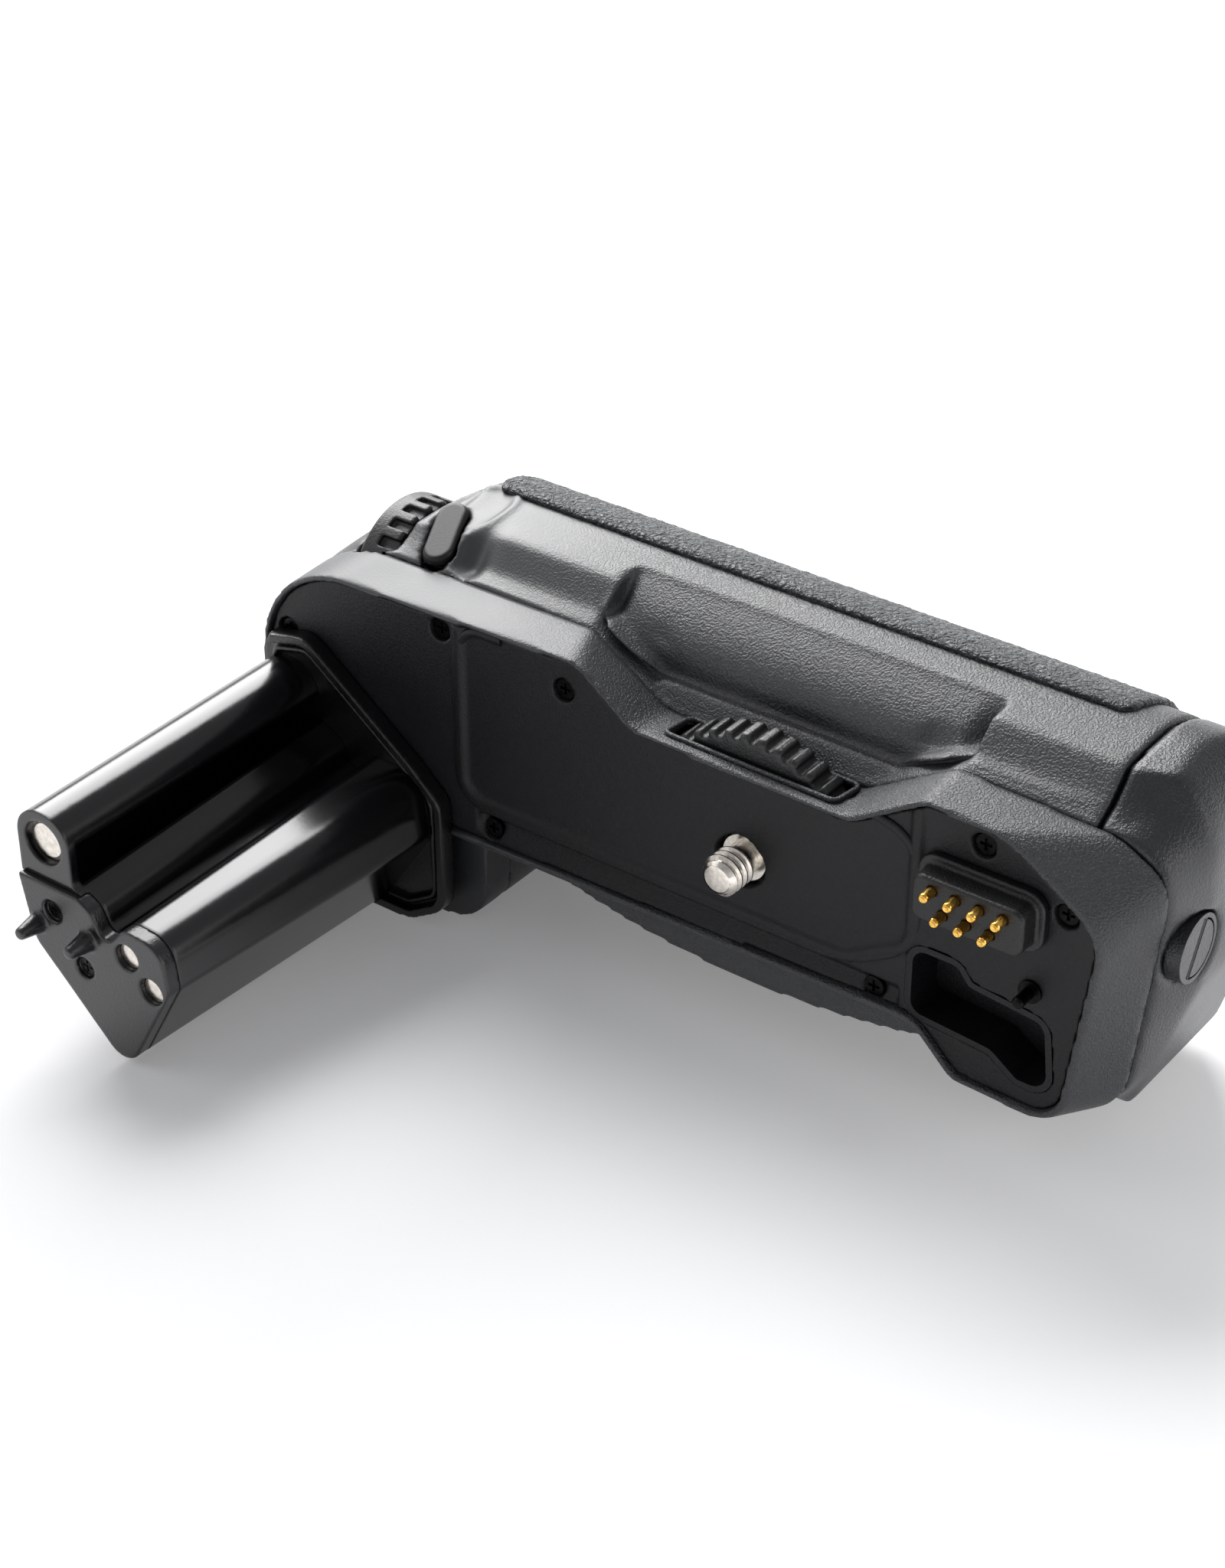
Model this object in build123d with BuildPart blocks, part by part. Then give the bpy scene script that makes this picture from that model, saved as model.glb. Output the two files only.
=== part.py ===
from build123d import *
import math
import os

os.makedirs("parts", exist_ok=True)

# Camera battery grip, lying on its front side as it is set down on a table.
# +X runs along the grip to the battery door, +Y from the mating plate into the body, +Z to the
# back of the camera. The origin is the centre of the camera screw in the mating plate.

# Driving dimensions, in millimetres.
plate_length = 149.4
plate_width = 45.6
left_reach = 90.5
back_reach = 23.2
body_height = 46.0
band_height = 9.0
band_flare = 5.0
left_flare = 1.0
body_back = 29.9
body_front = 34.5
middle_front = 32.0
wall = 2.2
seam_gap = 0.3
seat_gap = 0.3
running_clearance = 0.06
cut_overrun = 1.0
thread_radius = 3.175
cell_radius = 7.25
cell_length = 50.5


def front(y):
    """Drawing plane across the grip at depth y: its first axis is X, its second is Z."""
    return Plane(origin=(0, y, 0), x_dir=(1, 0, 0), z_dir=(0, -1, 0))


def side(x):
    """Drawing plane square to the grip's length: its first axis is Y, its second is Z."""
    return Plane(origin=(x, 0, 0), x_dir=(0, 1, 0), z_dir=(1, 0, 0))


def top(z):
    """Drawing plane seen from the back of the camera: its first axis is X, its second is Y."""
    return Plane(origin=(0, 0, z), x_dir=(1, 0, 0), z_dir=(0, 0, 1))


def outline(points, radii):
    """Closed outline with a rounded corner of its own radius at each point."""
    with BuildSketch() as face:
        with BuildLine():
            FilletPolyline(*points, radius=radii, close=True)
        make_face()
    return face.sketch


def inset(face, distance):
    """The same outline, drawn in by a distance."""
    with BuildSketch() as smaller:
        add(face)
        offset(amount=-distance, mode=Mode.REPLACE)
    return smaller.sketch


def prism(plane, face, depth):
    """A face pushed along a plane's normal, or against it where depth is negative."""
    with BuildPart() as solid:
        with BuildSketch(plane):
            add(face)
        extrude(amount=depth)
    return solid.part


def block(low, high):
    """A box between two opposite corners."""
    with BuildPart() as solid:
        with BuildSketch(top(low[2])):
            with Locations(((low[0] + high[0]) / 2, (low[1] + high[1]) / 2)):
                Rectangle(high[0] - low[0], high[1] - low[1])
        extrude(amount=high[2] - low[2])
    return solid.part


def rod(plane, centre, radius, length):
    """A round rod that starts on a plane and runs along its normal."""
    with BuildPart() as solid:
        with BuildSketch(plane):
            with Locations(centre):
                Circle(radius)
        extrude(amount=length)
    return solid.part


def shared(first, second):
    """What two solids have in common."""
    with BuildPart() as solid:
        add(first)
        add(second, mode=Mode.INTERSECT)
    return solid.part


def finish(piece, name):
    """Labels a finished piece and writes it."""
    piece.part.label = name
    export_step(piece.part, "parts/" + name + ".step")


# Outline of the mating plate's rim, as shares of the plate's length and width from the camera screw.
rim_shares = [
    (-0.606, 0.465), (-0.191, 0.509), (-0.124, 0.344), (0.120, 0.329), (0.201, 0.496),
    (0.288, 0.487), (0.394, 0.259), (0.365, -0.487), (0.248, -0.478), (0.201, -0.325),
    (-0.348, -0.364), (-0.606, -0.364),
]
rim_radius_shares = [0.4, 0.13, 0.13, 0.13, 0.07, 0.3, 0.18, 0.13, 0.09, 0.11, 0.05, 0.03]
rim_points = [(sx * plate_length, sz * plate_width) for sx, sz in rim_shares]
rim_radii = [share * plate_width for share in rim_radius_shares]
rim_face = outline(rim_points, rim_radii)

# Outline of the seam behind the band, where the band has flared out to the full body.
seam_shares = [
    (-0.606, 0.496), (-0.218, 0.513), (-0.124, 0.318), (0.100, 0.307), (0.201, 0.509),
    (0.338, 0.482), (0.394, 0.384), (0.365, -0.537), (0.241, -0.537), (0.187, -0.417),
    (-0.348, -0.439), (-0.606, -0.439),
]
middle_share = 0.3
seam_radius_shares = [0.465, 0.07, 0.11, 0.11, 0.07, 0.2, 0.13, 0.2, 0.09, 0.11, 0.05, 0.03]


def flared(sx, sz):
    """A seam point, moved out at the battery door and, less, at the shutter end."""
    shift = band_flare if sx > middle_share else (-left_flare if sx < -middle_share else 0)
    return (sx * plate_length + shift, sz * plate_width)


seam_points = [flared(sx, sz) for sx, sz in seam_shares]
seam_radii = [share * plate_width for share in seam_radius_shares]
seam_face = outline(seam_points, seam_radii)

# Ends of the grip and of its parts along X.
left_end = -left_reach - left_flare
left_length = 15.9
left_seam = left_end + left_length
door_seam = 51.5
door_length = 13.8
right_end = door_seam + door_length
door_lean = 10.8
door_lean_z = -3.0
door_plan_round = 18.0
door_round = 14.0
door_foot_round = 13.0
cap_corner = 12.0
shutter_corner = 30.0

# Cross-section of the grip, square to its length: a ledge behind the band, a riser, the flat back
# where the thumb rests, the rounded back edge, the base and the front that the fingers wrap.
ledge_width = 3.6
riser_width = 3.8
riser_height = 4.8
back_round = 20.0
front_flat = 15.0
foot_flat = 21.0
front_round_share = 0.6
chin_round_share = 0.47
front_round = front_round_share * front_flat
chin_round = chin_round_share * front_flat
chin_depth = body_height - front_flat
foot_depth = body_height - foot_flat
front_at_seam = 20.0
ledge_round = 3.0
ledge_rise = 0.9


def grip_section(chin):
    """Section whose front side has come down to the table at the given depth."""
    points = [
        (band_height, back_reach),
        (band_height + ledge_width, back_reach + ledge_rise),
        (band_height + ledge_width + riser_width, back_reach + riser_height),
        (body_height, body_back),
        (body_height, -body_front),
        (chin, -body_front),
        (band_height, -front_at_seam),
    ]
    return outline(points, [0, ledge_round, ledge_round, back_round, front_round, chin_round, 0])


section_face = grip_section(chin_depth)
foot_section = grip_section(foot_depth)

# Shutter end: the section shrinks to a nose. Shares of the nose's length, the ledge's height, the
# back's height, the base's height, the rounded edge and the knee between ledge and back.
nose_start = -66.0
nose_length = nose_start - left_end
nose_back_y = 12.5
slope_share = 1.4
nose_shares = [
    (0, 1, 1, 1, 1, 0.91), (0.2, 0.985, 0.885, 0.9, 1.1, 0.975), (0.45, 0.915, 0.8, 0.89, 1.15, 1),
    (0.78, 0.68, 0.55, 0.89, 1.15, 1), (1, 0.22, 0.2, 0.87, 1.1, 1),
]


def nose_section(row, wall_inside):
    """One section of the nose, drawn in by the wall where it is the inside."""
    ledge, back, base, rounded, knee = row[1:]
    low = band_height - cut_overrun if wall_inside else band_height
    points = [
        (low, ledge * back_reach - wall_inside),
        (nose_back_y, knee * back * body_back - wall_inside),
        (base * body_height - wall_inside, back * body_back - wall_inside),
        (base * body_height - wall_inside, 2 * wall_inside - body_front),
        (base * chin_depth + wall_inside / 2, 2 * wall_inside - body_front),
        (low, slope_share * wall_inside - front_at_seam),
    ]
    radii = [0, ledge_round, rounded * back_round - wall_inside, front_round - wall_inside, chin_round, 0]
    return outline(points, radii)


def nose_body(wall_inside):
    """The nose, or its inside, through its sections."""
    with BuildPart() as solid:
        for row in nose_shares:
            with BuildSketch(side(nose_start - row[0] * (nose_length - wall_inside))):
                add(nose_section(row, wall_inside))
        loft(ruled=True)
    return solid.part


# Raised pad beside the main dial: there the back rises straight from the band.
pad_right = -60.5
pad_rise = 4.0
pad_section = outline(
    [
        (band_height, back_reach), (nose_back_y, back_reach + pad_rise),
        (body_height / 2, back_reach + riser_height), (body_height / 2, 0), (band_height, 0),
    ],
    [0, ledge_round, 0, 0, 0],
)

# The envelope grows from the seam's outline to the full body over twice the band's height.
front_step = 1.2
band_corner_left = 21.2
band_corner_right = 9.0
seam_right_top, seam_right_low = seam_points[6], seam_points[7]
narrow_face = outline(
    [
        (left_end, back_reach), (seam_right_top[0], back_reach - front_step),
        seam_right_low, (left_end, seam_right_low[1]),
    ],
    [band_corner_left, band_corner_right, band_corner_right, band_corner_right],
)
wide_face = outline(
    [
        (left_end, body_back), (right_end, body_back), (right_end, door_lean_z),
        (right_end - door_lean, -body_front), (left_end, -body_front),
    ],
    [shutter_corner, door_round, door_round, door_foot_round, cap_corner],
)
plan_face = outline(
    [
        (left_end, band_height), (right_end, band_height),
        (right_end, body_height), (left_end, body_height),
    ],
    [0, 0, door_plan_round, cap_corner],
)

# Finger bulge below the mating plate, at the shutter end.
bulge_face_y = 3.0
bulge_right = -49.0
bulge_round = 8.0
bulge_top = -8.0
bulge_face = outline(
    [
        (left_end, bulge_top), (bulge_right, bulge_top),
        (bulge_right, -body_front), (left_end, -body_front),
    ],
    [0, 0, bulge_round, bulge_round],
)
relief_slope = 6.0
relief_face = outline(
    [
        (bulge_right, -body_front - cut_overrun), (bulge_right, -body_front),
        (bulge_right + relief_slope, -middle_front),
        (door_seam - relief_slope, -middle_front), (door_seam - relief_slope, -body_front - cut_overrun),
    ],
    0,
)

long_body = prism(side(nose_start), section_face, right_end - nose_start)
pad_body = prism(side(nose_start), pad_section, pad_right - nose_start)
foot_body = prism(
    side(door_seam - relief_slope), foot_section, right_end - door_seam + relief_slope
)
plan_body = prism(
    top(-body_front - cut_overrun), plan_face, body_front + body_back + 2 * ledge_round
)
bulge_body = prism(front(bulge_face_y), bulge_face, bulge_face_y - chin_depth)
relief_body = prism(front(0), relief_face, -body_height - cut_overrun)

with BuildPart() as envelope:
    with BuildSketch(front(band_height)):
        add(narrow_face)
    with BuildSketch(front(2 * band_height)):
        add(wide_face)
    loft(ruled=True)
    with BuildSketch(front(2 * band_height)):
        add(wide_face)
    extrude(amount=2 * band_height - body_height)
with BuildPart() as grip_body:
    add(long_body)
    add(nose_body(0))
    add(pad_body)
    add(foot_body)
    add(envelope.part, mode=Mode.INTERSECT)
    add(bulge_body)
    add(plan_body.fuse(bulge_body), mode=Mode.INTERSECT)
    add(relief_body, mode=Mode.SUBTRACT)

# Finger recess over the thumbwheel: a lip behind the band, a valley and a ramp up to the back.
recess_left = -33.0
recess_right = 30.5
recess_floor = 14.2
valley_left = -18.5
valley_right = 15.0
lip_depth = 12.0
lip_rise = 2.6
valley_depth = 14.5
ramp_depth = 21.3
ramp_drop = 1.3
lip_round = 1.0
valley_round = 2.0
recess_round = 4.0


def recess_tool(growth):
    """The recess as a cutter, grown by a distance to make the inside of the wall below it."""
    run = [
        (band_height - growth - cut_overrun, recess_floor - growth),
        (band_height, recess_floor - growth),
        (lip_depth, recess_floor + lip_rise - growth),
        (valley_depth, recess_floor + lip_rise - ledge_round / 3 - growth),
        (ramp_depth + growth, body_back - ramp_drop),
        (ramp_depth + growth, body_back + 4 * ledge_round),
        (band_height - growth - cut_overrun, body_back + 4 * ledge_round),
    ]
    across = [
        (recess_left - growth, back_reach),
        (valley_left - growth / 2, recess_floor - growth),
        (valley_right + growth / 2, recess_floor - growth),
        (recess_right + growth, back_reach),
        (recess_right + growth, body_back + 4 * ledge_round),
        (recess_left - growth, body_back + 4 * ledge_round),
    ]
    run_face = outline(run, [0, 0, lip_round, valley_round, 0, 0, 0])
    across_face = outline(across, [0, recess_round, recess_round, 0, 0, 0])
    along = prism(side(recess_left - growth), run_face, recess_right - recess_left + 2 * growth)
    return shared(along, prism(front(0), across_face, -body_height))


recess_cut = recess_tool(0)
recess_core = recess_tool(wall)

# Hollow of the body: the same sections drawn in by the wall, open to the band.
cavity_face = outline(
    [
        (left_end + wall, body_back), (right_end, body_back),
        (right_end, wall - middle_front), (left_end + wall, wall - middle_front),
    ],
    [shutter_corner, 0, 0, front_round],
)
front_strip = block(
    (nose_start, band_height - cut_overrun, slope_share * wall - front_at_seam),
    (right_end, band_height + 2 * wall, back_reach - wall),
)
slope_wall = 2.75
with BuildPart() as hollow_envelope:
    with BuildSketch(front(band_height - cut_overrun)):
        add(inset(narrow_face, slope_wall))
    extrude(amount=-cut_overrun)
    with BuildSketch(front(band_height)):
        add(inset(narrow_face, slope_wall))
    with BuildSketch(front(2 * band_height)):
        add(inset(wide_face, slope_wall))
    loft(ruled=True)
    with BuildSketch(front(2 * band_height)):
        add(cavity_face)
    extrude(amount=-body_height)
with BuildPart() as hollow:
    with BuildSketch(side(nose_start)):
        add(inset(section_face, wall))
    extrude(amount=door_seam - nose_start + cut_overrun)
    add(nose_body(wall))
    add(front_strip)
    add(prism(side(nose_start), inset(pad_section, wall), pad_right - wall - nose_start))
    add(hollow_envelope.part, mode=Mode.INTERSECT)
    add(recess_core, mode=Mode.SUBTRACT)

# Top case: the band round the mating plate, one moulding with the shutter end of the grip.
plate_step = 0.8
plate_thickness = 2.0
plate_back = plate_step + plate_thickness
rim_width = 1.0
ledge_reach = 3.4
plate_fit = 0.1
slot_front = 2.7
slot_back = 8.6
slot_half = 14.3
slot_inner_half = 16.4
slot_surface = 14.0
wheel_radius = 19.6

well_gap = 0.5
well_wall = 1.6
well_front = 2.0
bulge_radius = 138.0
bulge_half = 35.0
bulge_root_z = -15.5

opening_face = inset(rim_face, rim_width)
inner_face = inset(rim_face, ledge_reach)
left_keep = block(
    (left_end - cut_overrun, band_height, -body_front - cut_overrun),
    (left_seam, body_height + cut_overrun, body_back + cut_overrun),
)
bulge_keep = block(
    (left_end - cut_overrun, 0, -body_front - cut_overrun),
    (bulge_right + cut_overrun, band_height, bulge_top),
)
left_part = shared(grip_body.part, left_keep)
bulge_band = shared(bulge_body, bulge_keep)

# Main dial, under the thumb, and front dial, under the first finger: same drum, same axle.
dial_y = 19.2
dial_z = 14.0
dial_radius = 12.4
dial_left = -77.6
dial_right = -71.6
dial_slot_gap = 0.5
dial_opening_share = 0.62
front_dial_y = 26.5
front_dial_z = -23.0
front_dial_radius = 10.2
front_scoop = 2.2
front_scoop_margin = 4.0
front_scoop_reach = 4.8


def dial_slot(y, z, radius, low, high):
    """Room for a dial: a drum's space, opened between two heights where the dial stands out."""
    with BuildPart() as room:
        with BuildSketch(side(dial_left - dial_slot_gap)):
            with Locations((y, z)):
                Circle(radius + dial_slot_gap)
        extrude(amount=dial_right - dial_left + 2 * dial_slot_gap)
        add(block(
            (dial_left - dial_slot_gap, y - dial_opening_share * radius, low),
            (dial_right + dial_slot_gap, y + dial_opening_share * radius, high),
        ))
    return room.part


main_slot = dial_slot(dial_y, dial_z, dial_radius, dial_z, body_back + dial_radius)
front_slot = dial_slot(
    front_dial_y, front_dial_z, front_dial_radius, -body_front - cut_overrun, front_dial_z
)
front_relief = block(
    (
        dial_left - front_scoop_margin,
        front_dial_y - front_dial_radius - front_scoop_reach,
        -body_front - cut_overrun,
    ),
    (
        dial_right + front_scoop_margin,
        front_dial_y + front_dial_radius + front_scoop_reach,
        front_scoop - body_front,
    ),
)

# Shutter release at the shutter end: its button runs inside the lock collar, the collar in the case.
release_y = 27.0
release_z = -12.0
release_button_radius = 4.6
collar_tube_radius = 6.1
collar_radius = 8.4
collar_height = 1.6
release_recess = 0.9
release_recess_gap = 0.4

with BuildPart() as top_case:
    with BuildSketch(front(0)):
        add(rim_face)
    with BuildSketch(front(band_height)):
        add(seam_face)
    loft(ruled=True)
    with BuildSketch(front(band_height)):
        with Locations((0, bulge_radius - wheel_radius - well_gap - well_wall)):
            Circle(bulge_radius)
        with Locations((0, bulge_root_z - bulge_half)):
            Rectangle(2 * bulge_half, 2 * bulge_half, mode=Mode.INTERSECT)
    extrude(amount=band_height - well_front)
    add(bulge_band)
    add(left_part)
    with BuildSketch(front(-cut_overrun)):
        add(opening_face)
    extrude(amount=-cut_overrun - plate_back, mode=Mode.SUBTRACT)
    with BuildSketch(front(0)):
        add(inner_face)
    extrude(amount=-band_height, mode=Mode.SUBTRACT)
    add(hollow.part, mode=Mode.SUBTRACT)
    with BuildSketch(front(slot_front)):
        with Locations((0, slot_surface + wheel_radius / 2)):
            Rectangle(2 * slot_half, wheel_radius)
    extrude(amount=slot_front - slot_back, mode=Mode.SUBTRACT)
    with BuildSketch(front(slot_front)):
        with Locations((0, slot_surface / 2)):
            Rectangle(2 * slot_inner_half, slot_surface)
    extrude(amount=slot_front - slot_back, mode=Mode.SUBTRACT)
    with BuildSketch(front(plate_back)):
        Circle(wheel_radius + well_gap)
        with Locations((0, wheel_radius)):
            Rectangle(3 * wheel_radius, 2 * wheel_radius, mode=Mode.SUBTRACT)
    extrude(amount=plate_back - band_height, mode=Mode.SUBTRACT)
    with BuildSketch(side(left_end - cut_overrun)):
        with Locations((release_y, release_z)):
            Circle(collar_radius + release_recess_gap)
    extrude(amount=cut_overrun + release_recess, mode=Mode.SUBTRACT)
    with BuildSketch(side(left_end)):
        with Locations((release_y, release_z)):
            Circle(collar_tube_radius + running_clearance)
    extrude(amount=2 * wall, mode=Mode.SUBTRACT)
    add(main_slot, mode=Mode.SUBTRACT)
    add(front_slot, mode=Mode.SUBTRACT)
    add(front_relief, mode=Mode.SUBTRACT)

# Main shell: the back, base and front of the grip between the shutter end and the battery door.
button_x = -65.0
button_y = 15.0
button_length = 11.5
button_width = 5.0
button_turn = 111.0
button_gap = 0.3
bush_radius = 5.0
bush_boss = 7.6
bush_depth = 5.2
bush_x = 0.0
bush_z = -1.0
chamber_back_y = 40.3

with BuildPart() as main_shell:
    add(grip_body.part)
    add(block(
        (left_seam, band_height, -body_front - cut_overrun),
        (door_seam, body_height + cut_overrun, body_back + cut_overrun),
    ), mode=Mode.INTERSECT)
    add(recess_cut, mode=Mode.SUBTRACT)
    add(hollow.part, mode=Mode.SUBTRACT)
    with BuildSketch(front(body_height - wall / 2)):
        with Locations((bush_x, bush_z)):
            Circle(bush_boss)
    extrude(amount=body_height - wall / 2 - chamber_back_y - seat_gap)
    with BuildSketch(front(body_height + cut_overrun)):
        with Locations((bush_x, bush_z)):
            Circle(bush_radius)
    extrude(amount=bush_depth + 2 * cut_overrun, mode=Mode.SUBTRACT)
    with BuildSketch(top(dial_z)):
        with Locations((button_x, button_y)):
            SlotOverall(button_length + 2 * button_gap, button_width + 2 * button_gap,
                        rotation=button_turn)
    extrude(amount=2 * wall + body_back - dial_z, mode=Mode.SUBTRACT)
    add(main_slot, mode=Mode.SUBTRACT)
    add(front_slot, mode=Mode.SUBTRACT)
    add(front_relief, mode=Mode.SUBTRACT)

# Battery door: the end cap that draws the battery tray out of the grip.
knob_y = 15.6
knob_z = 4.2
knob_radius = 5.2
knob_recess = 3.0
knob_gap = 0.3
knob_shaft = 2.5
cap_wall = 2.0
cap_inner_right = right_end - knob_recess - wall
rib_front = 24.0
rib_back = 34.0
rib_low = -16.0
rib_high = 10.0
cam_room = 8.0

with BuildPart() as door_hollow:
    with BuildSketch(side(door_seam)):
        add(inset(section_face, 2 * cap_wall))
    extrude(amount=cap_inner_right - door_seam)
    with BuildSketch(top(-body_front)):
        add(inset(plan_face, 2 * cap_wall))
    extrude(amount=2 * body_front, mode=Mode.INTERSECT)
    with BuildSketch(front(band_height)):
        add(inset(wide_face, 2 * cap_wall))
    extrude(amount=-body_height, mode=Mode.INTERSECT)
    add(block(
        (door_seam, rib_front, rib_low), (right_end, rib_back, rib_high),
    ), mode=Mode.SUBTRACT)
    add(block(
        (door_seam, band_height, knob_z - cam_room),
        (door_seam + cam_room, band_height + 3 * cap_wall, knob_z + cam_room),
    ))

with BuildPart() as battery_door:
    add(grip_body.part)
    add(block(
        (door_seam + seam_gap, band_height + seam_gap, -body_front - cut_overrun),
        (right_end + cut_overrun, body_height + cut_overrun, body_back + cut_overrun),
    ), mode=Mode.INTERSECT)
    add(door_hollow.part, mode=Mode.SUBTRACT)
    with BuildSketch(side(right_end - knob_recess)):
        with Locations((knob_y, knob_z)):
            Circle(knob_radius + knob_gap)
    extrude(amount=knob_recess + cut_overrun, mode=Mode.SUBTRACT)
    with BuildSketch(side(door_seam)):
        with Locations((knob_y, knob_z)):
            Circle(knob_shaft + running_clearance)
    extrude(amount=right_end - door_seam, mode=Mode.SUBTRACT)

# Base plate: the mating face, let into the top case, with the raised bead round its flat panel.
screw_hole = 4.25
panel_shares = [(-0.348, 0.6), (0.2, 0.6), (0.2, -0.06), (0.125, -0.206), (-0.348, -0.206)]
panel_points = [(sx * plate_length, sz * plate_width) for sx, sz in panel_shares]
panel_radii = [5, 3, 5, 5, 5]
bead_width = 1.5
bead_height = 0.6
gutter_left = -48.5
gutter_right = 27.5
gutter_depth = 1.4
gutter_lip = 0.4
pocket_shares = [
    (0.197, -0.057), (0.245, -0.057), (0.258, -0.115), (0.339, -0.14), (0.347, -0.38),
    (0.315, -0.38), (0.285, -0.31), (0.197, -0.29),
]
pocket_points = [(sx * plate_length, sz * plate_width) for sx, sz in pocket_shares]
pocket_radii = [2.2, 2, 2, 2.2, 2.5, 1.2, 3, 2]
pocket_face = outline(pocket_points, pocket_radii)
pocket_wall = 1.0
pocket_outer = inset(pocket_face, -pocket_wall)
pocket_depth = 8.0
connector_x = 40.1
connector_z = 10.25
connector_length = 17.4
connector_width = 7.3
connector_round = 1.7
connector_reach = 4.2
post_x = 24.0
post_radius = 2.2
bracket_y = 8.9
board_y = 11.3
board_post_x = 25.5
board_post_low = -7.5
board_post_high = 10.5
board_post_right = 48.3
screw_head_radius = 1.6
screw_head_height = 0.9
screw_shank_radius = 0.9
screw_length = 4.4
screw_well = 0.6
plate_screw_shares = [
    (-0.572, 0.19), (-0.367, 0.419), (-0.212, 0.372), (-0.307, -0.285), (0.154, -0.27),
    (0.263, 0.405), (0.351, 0.275),
]
plate_screw_places = [(sx * plate_length, sz * plate_width) for sx, sz in plate_screw_shares]

# Gutter along the plate's lower side, deepest beside the bead and rising to the rim.
gutter_top = panel_points[4][1] - bead_height
gutter_low = rim_points[-1][1] + rim_width + gutter_lip
gutter_points = [
    (plate_step - cut_overrun, gutter_top), (plate_step, gutter_top),
    (plate_step + gutter_depth, gutter_top - gutter_depth),
    (plate_step - gutter_lip, gutter_low), (plate_step - cut_overrun, gutter_low),
]
gutter_body = prism(side(gutter_left), outline(gutter_points, 0), gutter_right - gutter_left)

with BuildPart() as base_plate:
    with BuildSketch(front(plate_step)):
        add(inset(opening_face, plate_fit / 2))
    extrude(amount=-plate_thickness)
    add(gutter_body, mode=Mode.SUBTRACT)
    with BuildSketch(front(plate_step)):
        add(outline(panel_points, panel_radii))
        add(inset(outline(panel_points, panel_radii), bead_width), mode=Mode.SUBTRACT)
        add(inset(opening_face, plate_fit / 2), mode=Mode.INTERSECT)
    extrude(amount=bead_height)
    with BuildSketch(front(plate_back)):
        with Locations((post_x, 0), (-post_x, 0)):
            Circle(post_radius)
    extrude(amount=plate_back - bracket_y)
    with BuildSketch(front(plate_back)):
        with Locations(
            (board_post_x, board_post_low), (board_post_x, board_post_high),
            (board_post_right, 0),
        ):
            Circle(post_radius)
    extrude(amount=plate_back - board_y)
    with BuildSketch(front(0)):
        Circle(screw_hole)
        with Locations(*plate_screw_places):
            Circle(screw_head_radius + screw_shank_radius / 3)
    extrude(amount=-plate_step - screw_well - screw_head_height, mode=Mode.SUBTRACT)
    with BuildSketch(front(0)):
        Circle(screw_hole)
        with Locations(*plate_screw_places):
            Circle(screw_shank_radius)
    extrude(amount=-2 * plate_back, mode=Mode.SUBTRACT)
    with BuildSketch(front(0)):
        with Locations((connector_x, connector_z)):
            RectangleRounded(connector_length, connector_width, connector_round)
        add(pocket_outer)
    extrude(amount=-plate_back, mode=Mode.SUBTRACT)

# Outline of the collar round the tower's foot, as shares of the tower's width.
tower_width = 30.0
tower_left = -90.2
collar_shares = [
    (0.01, 0.17), (0.06, 0.27), (0.34, 0.34), (1.02, -0.17), (1.22, -0.35), (1.225, -1.0),
    (0.98, -1.15), (0.01, -1.15),
]
collar_points = [(tower_left + sx * tower_width, sz * tower_width) for sx, sz in collar_shares]
collar_radii = [1, 3, 5, 3, 4, 5, 6, 6]
collar_face = outline(collar_points, collar_radii)

# The top case gives way to the plate screws and to the pocket, in the ledge the plate lies on.
with BuildPart() as top_case_drilled:
    add(top_case.part)
    with BuildSketch(front(0)):
        with Locations(*plate_screw_places):
            Circle(screw_shank_radius)
    extrude(amount=-2 * plate_back - cut_overrun, mode=Mode.SUBTRACT)
    with BuildSketch(front(plate_back)):
        add(pocket_outer)
    extrude(amount=plate_back - band_height, mode=Mode.SUBTRACT)
    with BuildSketch(front(-cut_overrun)):
        add(collar_face)
    extrude(amount=-cut_overrun - plate_step, mode=Mode.SUBTRACT)

# Plate screws: small black cross-head screws in wells of the plate.
cross_length = 1.9
cross_width = 0.45
cross_depth = 0.5
with BuildPart() as plate_screws:
    head_y = plate_step + screw_well
    with BuildSketch(front(head_y)):
        with Locations(*plate_screw_places):
            Circle(screw_head_radius)
    extrude(amount=-screw_head_height)
    with BuildSketch(front(head_y)):
        with Locations(*plate_screw_places):
            Circle(screw_shank_radius)
    extrude(amount=-screw_length)
    with BuildSketch(front(head_y)):
        with Locations(*plate_screw_places):
            Rectangle(cross_length, cross_width)
            Rectangle(cross_width, cross_length)
    extrude(amount=-cross_depth, mode=Mode.SUBTRACT)

# Pocket: a deep open tub in the mating face.
with BuildPart() as pocket_tub:
    with BuildSketch(front(plate_step)):
        add(pocket_outer)
    extrude(amount=-pocket_depth)
    with BuildSketch(front(plate_step)):
        add(pocket_face)
    extrude(amount=pocket_wall - pocket_depth, mode=Mode.SUBTRACT)
pocket_screw_x = 47.6
pocket_screw_z = -10.6
with BuildPart() as pocket_screw:
    floor_y = plate_step + pocket_depth - pocket_wall
    with BuildSketch(front(floor_y)):
        with Locations((pocket_screw_x, pocket_screw_z)):
            Circle(screw_head_radius)
    extrude(amount=screw_head_height)
    with BuildSketch(front(floor_y - screw_head_height)):
        with Locations((pocket_screw_x, pocket_screw_z)):
            Rectangle(cross_length, cross_width)
            Rectangle(cross_width, cross_length)
    extrude(amount=-cross_depth, mode=Mode.SUBTRACT)

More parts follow.
